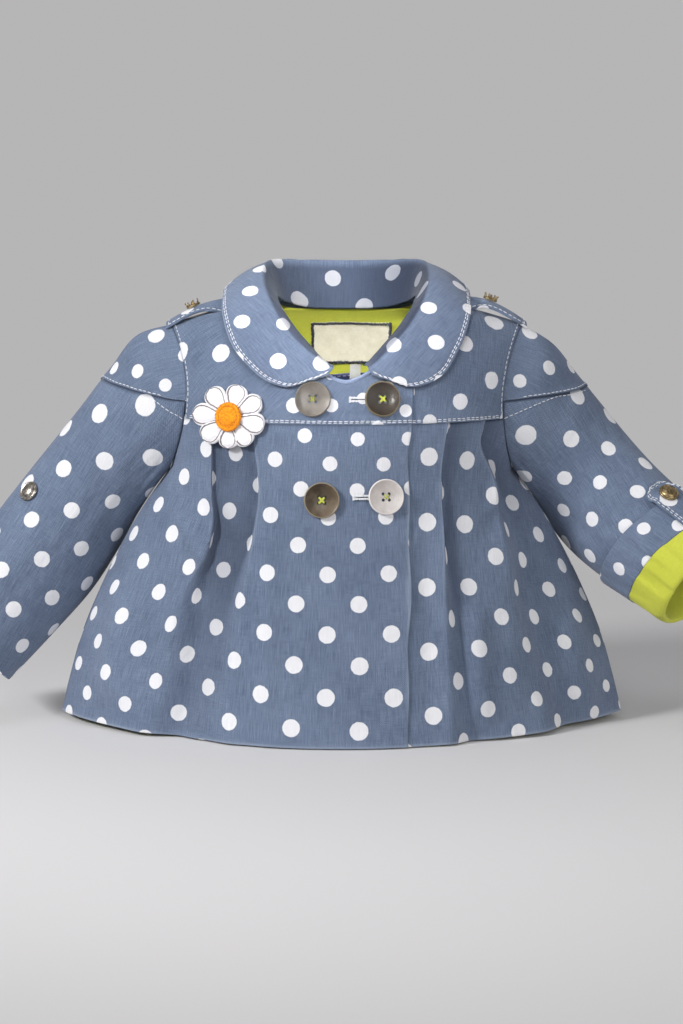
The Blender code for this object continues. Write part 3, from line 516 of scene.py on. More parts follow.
def armhole_x(w, back=False):
    straight = SHOULDER_TIP + (BODY[-1, 1] - SHOULDER_TIP) * w
    return straight - (0.0060 if back else 0.0125) * np.sin(math.pi * np.clip(w, 0, 1)) ** 0.8


def side_x(z):
    return through(BODY[:, 0], BODY[:, 1], z) + CHEST_FLARE * np.maximum(z - ARMPIT, 0)


def body(x, z, back=False):
    """The place on the filled-out body of the garment in front of, or behind, a place x, z."""
    x, z = np.broadcast_arrays(np.asarray(x, float), np.asarray(z, float))
    depth, point = (through(BODY[:, 0], BODY[:, k], z) for k in (3 if back else 2, 4))
    dome = 3.0 if back else 2.2
    depth = depth * (1 - (1 - below_shoulder(x, z)) ** dome) ** (1 / dome)
    y = depth * np.clip(1 - (x / side_x(z)) ** 2, 0, 1) ** (point / 2)
    return np.stack((x, y if back else -y, z), -1)


def body_out(x, z, back=False):
    step = 0.0008
    across = body(x + step, z, back) - body(x - step, z, back)
    up = body(x, z + step, back) - body(x, z - step, back)
    out = unit(np.cross(across, up))
    return -out if back else out


def on_body(x, z, rise=0.0, back=False):
    x, z = np.broadcast_arrays(np.asarray(x, float), np.asarray(z, float))
    return body(x, z, back) + body_out(x, z, back) * np.asarray(rise)[..., None]


def leaned(points):
    """Neck and shoulders sit a little to the wearer's left of the hem."""
    return points + ease((points[..., 2:] + 0.13) / 0.10) * (LEAN, 0, 0)


def armhole(side, phi):
    """Ring where a sleeve meets the body: phi 0 at the shoulder tip, 90 degrees in front."""
    w = (1 - np.cos(phi)) / 2
    rings = []
    for back in (False, True):
        x = armhole_x(w, back)
        rings.append(body(x, level_at(x, w), back))
    return np.where((np.sin(phi) >= 0)[..., None], rings[0], rings[1]) * (side, 1, 1)


def armhole_in(side, phi, under_arm=-1.0):
    """Directions in which the cloth turns in round the armhole; under_arm is their x below."""
    w = (1 - np.cos(phi)) / 2
    return np.stack((side * under_arm * w**3, np.sin(phi), -np.cos(phi)), -1)


def armhole_turn(z):
    """The phi at which the armhole crosses a level."""
    w = 0.6
    for _ in range(8):  # it settles well within these rounds
        w = below_shoulder(armhole_x(w), z)
    return math.acos(1 - 2 * w)


def hem(x, back=False):
    middle = HEM_BACK if back else HEM_FRONT
    return HEM_SIDE + (middle - HEM_SIDE) * np.clip(1 - (x / HEM_HALF) ** 2, 0, 1)


def crease(points, start, end, width, height, keys=(0, 2)):
    """Heights over a grid of one soft fold between two places, given on two of its axes."""
    flat = points[..., keys] - np.asarray(start)
    run = np.asarray(end) - np.asarray(start)
    t = flat @ run / (run @ run)
    beside = np.abs(flat[..., 0] * run[1] - flat[..., 1] * run[0]) / np.linalg.norm(run)
    return height * ease(t / 0.3 + 0.15) * ease((1 - t) / 0.3 + 0.15) * hump(beside, width)


def raised(points, heights):
    return points + facing(points) * heights[..., None]


def creased(points, folds, strength):
    """The grid with soft folds raised on it, each times a strength that goes by x."""
    for start, end, width, height in folds:
        fold = crease(points, start, end, width, height)
        points = raised(points, fold * strength(points[..., 0]))
    return points


def softened(points, level, reach=0.016, rounds=60):
    """The grid with the bend across one level smoothed, apart from its side edges."""
    z = points[..., 2:]
    near = ease(1 - np.abs(z - level) / reach)
    edge = np.minimum(lengths(points, 1), lengths_back(points, 1))
    near = near * ease((edge - 0.002) / 0.012)[..., None]
    for _ in range(rounds):
        middle = (points[2:] + points[:-2]) / 2
        points = points.copy()
        points[1:-1] += (middle - points[1:-1]) * 0.5 * near[1:-1]
    return points


PLEATS = {  # side: inner and outer fold: way it falls (1 to +X), recovery, share of cloth hidden
    -1: (
        (
            (-1, 0.010, 0.5),
            (  # z, distance from the centre, half width of the step, depth
                (-0.310, 0.0880, 0.0120, 0.0030),
                (-0.193, 0.0710, 0.0040, 0.0026),
                (-0.160, 0.0620, 0.0012, 0.0022),
                (-0.130, 0.0580, 0.0006, 0.0020),
                (-0.097, 0.0620, 0.0005, 0.0018),
                (-0.083, 0.0640, 0.0005, 0.0014),
            ),
        ),
        (
            (1, 0.017, 1.0),
            (
                (-0.310, 0.1330, 0.0150, 0.0100),
                (-0.215, 0.1090, 0.0090, 0.0080),
                (-0.190, 0.1000, 0.0040, 0.0060),
                (-0.165, 0.0905, 0.0010, 0.0046),
                (-0.125, 0.0908, 0.0005, 0.0034),
                (-0.083, 0.0915, 0.0005, 0.0022),
            ),
        ),
    ),
    1: (
        (
            (1, 0.013, 0.8),
            (
                (-0.310, 0.0850, 0.0110, 0.0080),
                (-0.215, 0.0770, 0.0055, 0.0062),
                (-0.167, 0.0725, 0.0012, 0.0044),
                (-0.119, 0.0697, 0.0005, 0.0026),
                (-0.083, 0.0730, 0.0005, 0.0016),
            ),
        ),
        (
            (1, 0.020, 1.0),
            (
                (-0.310, 0.1560, 0.0150, 0.0090),
                (-0.160, 0.1180, 0.0065, 0.0066),
                (-0.125, 0.1083, 0.0014, 0.0052),
                (-0.097, 0.0970, 0.0006, 0.0040),
                (-0.083, 0.1000, 0.0005, 0.0024),
            ),
        ),
    ),
}


def fold_at(rows, z):
    """Place, half width and depth of a pleat's fold at some levels."""
    rows = np.array(rows)
    return np.moveaxis(through(rows[:, 0], rows[:, 1:], z), -1, 0)


def pleated(side, x, z):
    """How far the pleats lift the cloth, how much cloth they hide between it and the centre, and
    the paint on it: a pale line along each crisp fold, partly wear and partly painted highlight,
    and painted shade in the hollow behind it."""
    lift, hidden, fold_wear_light_shade = np.zeros_like(x), np.zeros_like(x), np.zeros_like(x)
    for (falls, recovery, share), rows in PLEATS[side]:
        at, width, depth = fold_at(rows, z)
        past = (x - at) * side * falls
        low = ease((past / width + 1) / 2)
        behind = np.maximum(past - width, 0)
        lift -= depth * low * np.exp(-behind / recovery)
        lift += 0.35 * depth * hump(past, 0.004 + width) * (1 - low)
        shut = 1 - ease((PLEATS_OPEN - z) / 0.150)
        hidden += PLEAT_CLOTH * share * shut * ease(((x - at) / width + 1) / 2)
        crisp = 1 - ease((width - 0.001) / 0.010)
        # Pale line on the fold's edge, partly wear and partly painted highlight; the dark band
        # behind the fold is painted shade.
        fold_wear_light_shade += 0.55 * crisp * hump(past + width, 0.0009)
        fold_wear_light_shade -= 0.80 * (0.4 + 0.6 * crisp) * low * hump(behind, 0.017)
    return lift, hidden, fold_wear_light_shade


def lap_rise(side, places):
    """How far the front that laps over stands off the body."""
    return LAP_RISE * (1 - ease((places - LAP - 0.003) / 0.014)) if side < 0 else 0 * places


def front_skirt(side):
    """The grid of a front's skirt, from its free edge to the side seam, finer along the pleats."""
    grid = []
    below_arm = np.linspace(HEM_FRONT, ARMPIT, 76)[:-1]
    beside_arm = np.linspace(ARMPIT, YOKE_SEAM - 0.0002, 22)
    for level in np.concatenate((below_arm, beside_arm)):
        under = level <= ARMPIT
        turn = math.pi if under else armhole_turn(level)
        limit = float(side_x(level)) if under else float(armhole_x((1 - math.cos(turn)) / 2))
        start, places = (-LAP if side < 0 else -UNDER_LAP), []
        for (_, rows), count in zip(PLEATS[side], (40, 12)):
            at, width, _ = fold_at(rows, level)
            reach = 1.5 * width + 0.0005
            places += list(np.linspace(start, at - reach, count + 1)[:-1])
            places += list(at + reach * np.linspace(-1, 1, 15)[:-1])
            start = at + reach
        last = start + (limit - start) * np.sin(np.linspace(0, math.pi / 2, 28))
        places = np.array(places + list(last))
        z = level + (hem(places) - HEM_FRONT) * ease((ARMPIT - level) / (ARMPIT - HEM_FRONT)) ** 2
        if under:
            places = places * (1 + (side_x(z) / side_x(level) - 1) * (places / limit) ** 4)
        row = on_body(places, z, lap_rise(side, places))
        row[-1] = (places[-1], 0.0, z[-1]) if under else armhole(1, np.array(turn))
        grid.append(row)
    grid = softened(np.array(grid), ARMPIT)
    lift = pleated(side, grid[..., 0], grid[..., 2])[0]
    return raised(grid, lift * ease(lengths_back(grid, 1) / 0.012))


def dived(points, inward):
    """The grid with its last column sewn in: the wall turns inwards along a seam."""
    edge = points[:, -1]
    extra = [(edge + inward * SEAM_TUCK * share)[:, None] for share in (SEAM_BEND, 1)]
    return np.concatenate([points] + extra, 1)


def spot_on(x, z):
    """The place on the front, before it leans, at a signed x and a level."""
    return x, float(body(abs(x), z)[1]), z


def seam_inward(side, points):
    """Directions of the seam along a front's or back's side: in at the side seam, then following
    the armhole."""
    edge, level = points[:, -1], points[:, -1, 2]
    turns = np.array([math.pi if z <= ARMPIT else armhole_turn(z) for z in level])
    around = armhole_in(1, turns if edge[-1, 1] < 0 else 2 * math.pi - turns)
    return np.where((level <= ARMPIT)[:, None], (-1.0, 0.0, 0.0), around)


FRONT_FOLDS = {  # soft folds of each skirt: start x z, end x z, width, height
    -1: (
        ((0.070, -0.178), (0.118, -0.128), 0.0090, 0.0022),
        ((0.088, -0.190), (0.120, -0.142), 0.0060, -0.0022),
        ((0.150, -0.195), (0.168, -0.292), 0.0120, -0.0040),
        ((0.128, -0.175), (0.140, -0.300), 0.0100, 0.0024),
        ((0.040, -0.150), (0.052, -0.300), 0.0120, -0.0018),
        ((0.012, -0.120), (0.024, -0.200), 0.0080, 0.0010),
        ((-0.020, -0.150), (-0.014, -0.300), 0.0140, 0.0016),
        ((0.098, -0.215), (0.104, -0.302), 0.0090, 0.0020),
        ((-0.006, -0.108), (0.026, -0.126), 0.0050, -0.0008),
    ),
    1: (
        ((0.100, -0.170), (0.120, -0.130), 0.0080, 0.0014),
        ((0.092, -0.205), (0.098, -0.300), 0.0100, -0.0040),
        ((0.128, -0.180), (0.140, -0.300), 0.0110, 0.0030),
        ((0.160, -0.215), (0.178, -0.300), 0.0100, -0.0026),
        ((0.058, -0.140), (0.062, -0.300), 0.0090, 0.0012),
        ((0.112, -0.125), (0.106, -0.150), 0.0045, -0.0012),
    ),
}
for side, name, dot_at, spread, closer in (
    (-1, "front_right", (-0.0240, -0.0905), 0.63, 1.10),
    (1, "front_left", (0.0601, -0.1525), 0.15, 1.0),
):
    grid = creased(
        front_skirt(side), FRONT_FOLDS[side], lambda x: -1.5 * ease((x - 0.036) / 0.022)
    )
    ripple = np.sin(grid[..., 2] * 95 + 1.3 * side) * 0.0008 + np.sin(grid[..., 2] * 41) * 0.0010
    ripple = ripple * hump(grid[..., 0] + (LAP if side < 0 else UNDER_LAP), 0.012)
    grid = grid + (ripple * ease((YOKE_SEAM - grid[..., 2]) / 0.02))[..., None] * (1, 0, 0)
    inward = seam_inward(side, grid)
    tuck = grid[-1:] + np.array((0, 0.0016, 0.0030))
    grid = np.concatenate((grid, grid[-1:] + np.array((0, 0.0005, 0.0007)), tuck))
    inward = np.concatenate((inward, inward[-1:], inward[-1:]))
    grid = dived(grid, inward)
    if side < 0:
        grid = turned_edge(grid, "left", 0.0010)
    grid = turned_edge(grid, "first", 0.0009)
    wear_light_shade = hump(grid[..., 0] + LAP, 0.0016) if side < 0 else np.zeros(grid.shape[:2])
    wear_light_shade = np.maximum(wear_light_shade, hump(grid[..., 2] - hem(grid[..., 0]), 0.0022))
    # The pleats add a pale line along each fold, partly wear and partly painted highlight, and
    # painted shade behind it.
    _, shift, fold_wear_light_shade = pleated(side, grid[..., 0], grid[..., 2])
    wear_light_shade, shift = wear_light_shade + fold_wear_light_shade, shift * side
    grid = leaned(grid * (side, 1, 1))
    # Painted shade in a thin line along the yoke seam, under the yoke's turned edge.
    wear_light_shade = wear_light_shade * 0.6 - 0.55 * hump(grid[..., 2] - YOKE_SEAM + 0.0004, 0.0012)
    if side < 0:
        grid, wear_light_shade, shift = grid[:, ::-1], wear_light_shade[:, ::-1], shift[:, ::-1]
    aside = np.abs(grid[..., 0])
    backed = (aside > 0.045) & (aside < 0.172) & (grid[..., 2] > -0.285)
    piece = panel(
        name + "_skirt", grid, spot_on(*dot_at), -20 if side < 0 else 44, -1, spread, closer,
        wear_and_painted_light=wear_light_shade, backed=backed, shift=shift,
    )
    sewn_in(piece, name, grid)


# ================================================================ the yoke
# The smooth upper fronts, from the chest seam to the neck and shoulders. Their lower edges are
# turned under and laid over the gathered tops of the skirts, and topstitched in white.


def upper_grid(bottom_x, bottom_w, top_x, top_w, turns, back):
    """x and share of the way down of a grid from a lower edge up to the neck and shoulder."""
    fall = (1 - np.cos(turns)) / 2
    fall = (fall / fall[0])[:, None]
    w = top_w + (bottom_w - top_w) * fall
    x = top_x + (bottom_x - top_x) * fall
    share = np.clip(x / np.maximum(x[:, -1:], 1e-9), 0, 1) ** 4
    return x + (armhole_x(w[:, -1:], back) - x[:, -1:]) * share, w


def top_edge(back, start, neck_count, shoulder_count):
    """x and share of the way down of the neckline, from a start, and the shoulder after it."""
    neck = NECK * np.sin(np.linspace(math.asin(start / NECK), math.pi / 2, neck_count + 1))
    across = np.linspace(NECK, SHOULDER_TIP, shoulder_count + 1)[1:]
    if back:
        z = NECK_BACK + (shoulder(NECK) - NECK_BACK) * (neck / NECK) ** 4
    else:
        z = neckline(neck)
        z[-1] = shoulder(NECK)
    x = np.concatenate((neck, across))
    return x, np.concatenate((below_shoulder(neck, z), 0 * across))


def level_points(x, w, back, rise=0.0):
    points = on_body(x, level_at(x, w), rise, back)
    ridge = np.stack((x, 0 * x, shoulder(x)), -1)
    return np.where((w < 1e-6)[..., None], ridge, points)


def thread_finish(name, colour, roughness=0.6):
    finish, surface, _, place = new_finish(name, Roughness=roughness, Specular_IOR_Level=0.3)
    shade = place.noise(900, 2.0)
    feed(surface, Base_Color=shade.blend(tuple(0.72 * part for part in colour), colour))
    return finish


white_thread = thread_finish("white_thread", (0.86, 0.87, 0.90))


def on_line(line, along, at):
    """Places on a line, given the distances along it of its points, at one distance or several."""
    return np.stack([np.interp(at, along, axis) for axis in line.T], -1)


def inset(points, side, distance, fold=0.0):
    """A line of places along a grid and its directions out, at a distance inside one edge. fold is
    the radius of the edge's fold."""
    out = facing(points)
    if side in ("left", "right"):
        points, out = points.transpose(1, 0, 2), out.transpose(1, 0, 2)
    if side in ("last", "right"):
        points, out = points[::-1], out[::-1]
    along = lengths(points, 0)
    distance = distance + (math.radians(FOLD_TURN) - 1) * fold
    return np.array(
        [
            [on_line(grid[:, k], along[:, k], distance) for k in range(points.shape[1])]
            for grid in (points, out)
        ]
    )


def standing(*columns):
    """The matrix of three directions and a place."""
    matrix = np.eye(4)
    matrix[:3] = np.stack(columns, -1)
    return Matrix(matrix.tolist())


def stitched(
    name, rows, thread=white_thread, slot="white_cloth", length=0.0031, pitch=0.0038, radius=0.00032
):
    """One piece of rows of stitches. Each row is a line of places on the cloth, with its directions
    out; the thread dips into the cloth at both ends of a stitch."""
    mesh, dice = bmesh.new(), random.Random(len(name))
    for line, outs in rows:
        along = lengths(line[:, None], 0)[:, 0]
        count = max(round(along[-1] / pitch), 1)
        for number in range(count):
            middle = along[-1] * (number + 0.5 + dice.uniform(-0.06, 0.06)) / count
            reach = length * dice.uniform(0.90, 1.06) / 2
            run = on_line(line, along, middle + reach) - on_line(line, along, middle - reach)
            run, out = unit(run), unit(on_line(outs, along, middle))
            side = unit(np.cross(out, run))
            up = np.cross(run, side)
            place = on_line(line, along, middle) + up * radius * 0.45
            place = place + side * dice.uniform(-0.00012, 0.00012)
            matrix = standing(side * radius, up * radius, run * reach, place)
            bmesh.ops.create_uvsphere(mesh, u_segments=6, v_segments=5, radius=1, matrix=matrix)
    return made(name, mesh, thread, slot)


def made(name, mesh, finish, slot, node=None):
    """The piece of a finished mesh, declared."""
    piece = object_of(name, mesh)
    piece.data.materials.append(finish)
    piece.data.shade_smooth()
    declared(piece, node)
    return piece


YOKE_FOLDS = {  # soft folds of each upper front: start x z, end x z, width, height
    -1: (
        ((0.112, -0.030), (0.092, -0.074), 0.0050, -0.0012),
        ((0.080, -0.030), (0.070, -0.062), 0.0055, 0.0010),
        ((0.100, -0.050), (0.084, -0.079), 0.0040, 0.0008),
        ((0.010, -0.076), (-0.030, -0.079), 0.0035, 0.0005),
    ),
    1: (
        ((0.108, -0.026), (0.086, -0.046), 0.0050, 0.0011),
        ((0.112, -0.046), (0.078, -0.070), 0.0055, -0.0012),
        ((0.060, -0.060), (0.092, -0.078), 0.0045, 0.0008),
    ),
}
for side, name, dot_at in (
    (-1, "yoke_right", (-0.0325, -0.0700)),
    (1, "yoke_left", (0.0820, -0.0685)),
):
    start = LAP if side < 0 else UNDER_LAP
    top_x, top_w = top_edge(False, -start, 66, 36)
    share = np.concatenate((np.linspace(0, 0.56, 67), np.linspace(0.56, 1, 37)[1:]))
    turns = np.linspace(armhole_turn(YOKE_SEAM), 0, 64)
    limit = float(armhole_x((1 - math.cos(turns[0])) / 2))
    bottom_x = -start + (limit + start) * share
    x, w = upper_grid(bottom_x, below_shoulder(bottom_x, YOKE_SEAM), top_x, top_w, turns, False)
    grid = level_points(x, w, False, lap_rise(side, x) + 0.0007)
    grid[:, -1] = armhole(1, turns)
    grid[-1, -1, 1] = 0.0
    pucker = 0.00025 * np.sin(grid[..., 0] * 900 + 2.0 * np.sin(grid[..., 0] * 170))
    grid = raised(grid, -pucker * hump(grid[..., 2] - YOKE_SEAM - 0.003, 0.0035))
    grid = creased(grid, YOKE_FOLDS[side], lambda x: -1.0)
    grid = dived(grid, armhole_in(1, turns))
    on_shoulder = np.arange(grid.shape[1]) >= np.flatnonzero(top_w < 1e-6)[0]
    lip = np.where(on_shoulder[:, None], (0, 0, -SEAM_TUCK), (0, 0.0012, -0.0012))
    grid = np.concatenate((grid, grid[-1:] + lip * SEAM_BEND, grid[-1:] + lip))
    if side < 0:
        grid = turned_edge(grid, "left", 0.0010)
    grid = turned_edge(grid, "first", 0.0006)
    wear_light_shade = hump(grid[..., 2] - YOKE_SEAM, 0.0012)
    grid = leaned(grid * (side, 1, 1))
    if side < 0:
        grid, wear_light_shade = grid[:, ::-1], wear_light_shade[:, ::-1]
    spine = -8 if side < 0 else 8
    piece = panel(name + "_cloth", grid, spot_on(*dot_at), spine, closer=1.15, wear_and_painted_light=wear_light_shade * 0.4)
    sewn_in(piece, name, grid)
    outer = "left" if side < 0 else "right"
    rows = [inset(grid[:, 4:-4], "first", at, 0.0006) for at in (0.0012, 0.0024)]
    rows.append(inset(grid[4:-3], outer, SEAM_TUCK + 0.0026))
    stitched(name + "_topstitch", rows)


# ================================================================ the back
# One whole piece from neck to hem, a little flared, sewn to the fronts at the sides and the
# shoulders. Behind the neck it is faced with the lime lining.


def mirrored(half):
    """The whole grid of which half goes outwards from the middle."""
    return np.concatenate((half[:, :0:-1] * (-1, 1, 1), half), 1)


top_x, top_w = top_edge(True, 0.0, 30, 36)
share = np.sin(np.linspace(0, math.pi / 2, 67))
half, inward = [], []
for level in np.linspace(HEM_BACK, ARMPIT, 64)[:-1]:
    x = side_x(level) * share
    z = level + (hem(x, True) - HEM_BACK) * ease((ARMPIT - level) / (ARMPIT - HEM_BACK)) ** 2
    x = side_x(z) * share
    flare = 0.0035 * np.cos(x * 70) * ease((ARMPIT - z) / 0.15) * np.clip(1 - (x / 0.20) ** 4, 0, 1)
    row = on_body(x, z, flare, True)
    row[-1] = (x[-1], 0.0, z[-1])
    half.append(row)
    inward.append((-1.0, 0.0, 0.0))
turns = np.linspace(math.pi, 0, 80)
x, w = upper_grid(side_x(ARMPIT) * share, np.ones(67), top_x, top_w, turns, True)
upper = level_points(x, w, True)
upper[:, -1] = armhole(1, 2 * math.pi - turns)
upper[-1, -1, 1] = upper[0, -1, 1] = 0.0
inward = np.concatenate((inward, armhole_in(1, 2 * math.pi - turns)))
half = dived(softened(np.concatenate((half, upper)), ARMPIT), inward)
grid = mirrored(half)[:, ::-1]
BACK_FOLDS = (  # uneven soft folds of the back: start x z, end x z, width, height
    ((-0.075, -0.060), (-0.100, -0.150), 0.0100, 0.0022),
    ((0.062, -0.050), (0.104, -0.135), 0.0120, 0.0018),
    ((-0.030, -0.120), (-0.046, -0.290), 0.0110, -0.0024),
    ((0.022, -0.150), (0.034, -0.300), 0.0120, 0.0026),
    ((0.090, -0.150), (0.128, -0.295), 0.0100, -0.0026),
    ((-0.112, -0.160), (-0.150, -0.296), 0.0120, 0.0024),
    ((-0.020, -0.030), (0.060, -0.046), 0.0070, 0.0010),
    ((-0.080, -0.185), (-0.088, -0.300), 0.0080, 0.0020),
)
grid = creased(grid, BACK_FOLDS, lambda x: 1.0)
on_shoulder = np.abs(grid[-1, :, 0]) > NECK
lip = np.where(on_shoulder[:, None], (0, 0, -SEAM_TUCK), (0, -0.0012, -0.0010))
grid = np.concatenate((grid, grid[-1:] + lip * SEAM_BEND, grid[-1:] + lip))
grid = leaned(turned_edge(grid, "first", 0.0009))
grid = outward(grid, (0, 0, -0.15))
middle = grid.shape[1] // 2
piece = panel("back_cloth", grid, (0.0, 0.075, -0.150), middle, -1, spread=0.86, closer=1.15)
sewn_in(piece, "back", grid)


# ================================================================ the sleeves
# Two-part sleeves: a short upper part, set in at the armhole, ends in a curved seam, and the long
# lower part goes on to the wrist. White topstitching lies along the seams.

SLEEVES = {
    -1: (  # place, x, y, z, half_width, half_depth, tilt from upright in degrees
        (0.00, 0.1245, 0.0020, -0.0705, 0.0515, 0.0370, 0.0),
        (0.08, 0.1408, 0.0040, -0.0800, 0.0546, 0.0365, 7.3),
        (0.20, 0.1582, 0.0130, -0.1024, 0.0532, 0.0365, 12.2),
        (0.37, 0.1798, 0.0200, -0.1352, 0.0512, 0.0365, 19.3),
        (0.55, 0.2042, 0.0180, -0.1690, 0.0492, 0.0365, 26.9),
        (0.76, 0.2357, 0.0080, -0.2066, 0.0453, 0.0365, 35.5),
        (1.00, 0.2732, -0.0080, -0.2488, 0.0420, 0.0350, 47.0),
    ),
    1: (
        (0.00, 0.1245, 0.0020, -0.0705, 0.0515, 0.0370, 0.0),
        (0.10, 0.1396, 0.0040, -0.0829, 0.0519, 0.0365, 6.7),
        (0.24, 0.1558, 0.0140, -0.1036, 0.0505, 0.0365, 12.2),
        (0.42, 0.1760, 0.0180, -0.1300, 0.0490, 0.0370, 19.6),
        (0.64, 0.2038, 0.0000, -0.1584, 0.0442, 0.0375, 26.4),
        (0.84, 0.2326, -0.0220, -0.1808, 0.0400, 0.0380, 34.4),
        (1.00, 0.2560, -0.0400, -0.1992, 0.0370, 0.0375, 41.3),
    ),
}
SLEEVE_ROUND = np.linspace(-0.75, 1.25, 181) * math.pi
CAP_TURNS = np.radians((0, 36, 52, 66, 77, 86, 93))
CAP_SEAM = {  # places of the curved seam at those turns from the top of the sleeve
    -1: (0.246, 0.206, 0.172, 0.134, 0.094, 0.050, 0.0),
    1: (0.306, 0.256, 0.208, 0.153, 0.100, 0.048, 0.0),
}


def sleeve(side, place, phi, rise=0.0):
    """Points of a sleeve: place 0 at the armhole, 1 at the wrist; phi 0 on top, 90 degrees in
    front; rise off its surface."""
    place, phi = np.broadcast_arrays(np.asarray(place, float), np.asarray(phi, float))
    table = np.array(SLEEVES[side])

    def middle(at):
        return through(table[:, 0], table[:, 1:4], at)

    def oval(at, grow):
        half_width, half_depth, tilt = (through(table[:, 0], table[:, k], at) for k in (4, 5, 6))
        along = middle(np.minimum(at + 0.01, 1)) - middle(np.maximum(at - 0.01, 0))
        tilt = np.radians(tilt)
        outer = np.stack((np.sin(tilt), 0 * tilt, np.cos(tilt)), -1)
        swing = ease((at - 0.3) / 0.4)[..., None]
        square = np.cross(outer, -unit(along))
        front = unit(square * swing - np.array((0.0, 1.0, 0.0)) * (1 - swing))
        width, depth = (half_width + grow) * np.cos(phi), (half_depth + grow) * np.sin(phi)
        return middle(at) + outer * width[..., None] + front * depth[..., None]

    past = np.maximum(place - 1, 0)[..., None]
    end_step = (middle(np.ones_like(place)) - middle(np.full_like(place, 0.98))) / 0.02
    points = oval(np.clip(place, 0, 1), np.asarray(rise)) + end_step * past
    fade = 1 - ease(place / 0.34)[..., None]
    points = points + (armhole(1, phi) - oval(0 * place, 0.0)) * fade
    return points * (side, 1, 1)


def cap_place(side, phi):
    """Place of the curved seam round a sleeve, 0 where it doesn't reach."""
    turn = np.abs((phi + math.pi) % (2 * math.pi) - math.pi)
    return np.maximum(through(CAP_TURNS, CAP_SEAM[side], turn), 0) * (turn < CAP_TURNS[-1])


def sewn_rows(side, phi):
    """Two rows that turn in along the armhole seam, the inner one first."""
    ring, inward = armhole(side, phi), armhole_in(side, phi, 0.7)
    return np.array((ring + inward * SEAM_TUCK, ring + inward * 0.0008))


SLEEVE_FOLDS = {  # place and turn, in radians, of each soft fold's start and end, width, height
    -1: (
        ((0.06, 2.6), (0.20, 1.75), 0.030, -0.0026),
        ((0.12, 2.9), (0.34, 2.00), 0.040, -0.0024),
        ((0.30, 1.2), (0.52, 1.70), 0.040, 0.0014),
        ((0.55, 2.4), (0.80, 1.30), 0.040, -0.0014),
        ((0.70, 1.0), (0.95, 1.50), 0.050, 0.0012),
        ((0.30, 4.2), (0.55, 3.40), 0.050, 0.0020),
        ((0.60, 4.9), (0.90, 4.00), 0.045, -0.0016),
        ((0.05, 3.6), (0.22, 4.60), 0.040, -0.0020),
    ),
    1: (
        ((0.05, 2.6), (0.20, 1.75), 0.030, -0.0024),
        ((0.16, 2.9), (0.40, 2.10), 0.040, -0.0022),
        ((0.34, 1.0), (0.58, 1.50), 0.040, 0.0014),
        ((0.52, 2.3), (0.74, 1.55), 0.030, -0.0020),
        ((0.66, 2.1), (0.78, 1.45), 0.018, 0.0014),
        ((0.62, 0.7), (0.76, 1.10), 0.024, -0.0012),
        ((0.30, 4.2), (0.55, 3.50), 0.050, 0.0020),
        ((0.60, 4.9), (0.76, 4.00), 0.040, -0.0016),
    ),
}


def round_folds(folds, wider, place, phi):
    """Heights of soft folds round a sleeve, their widths stretched to places and turns."""
    where = np.stack(np.broadcast_arrays(place, phi % (2 * math.pi)), -1)
    return sum(
        crease(where, start, end, width * wider, height, (0, 1))
        for start, end, width, height in folds
    )


def matched(values, rows):
    """The rows of values, cut or with the last one repeated, to a number of rows."""
    return values[np.minimum(np.arange(rows), len(values) - 1)]


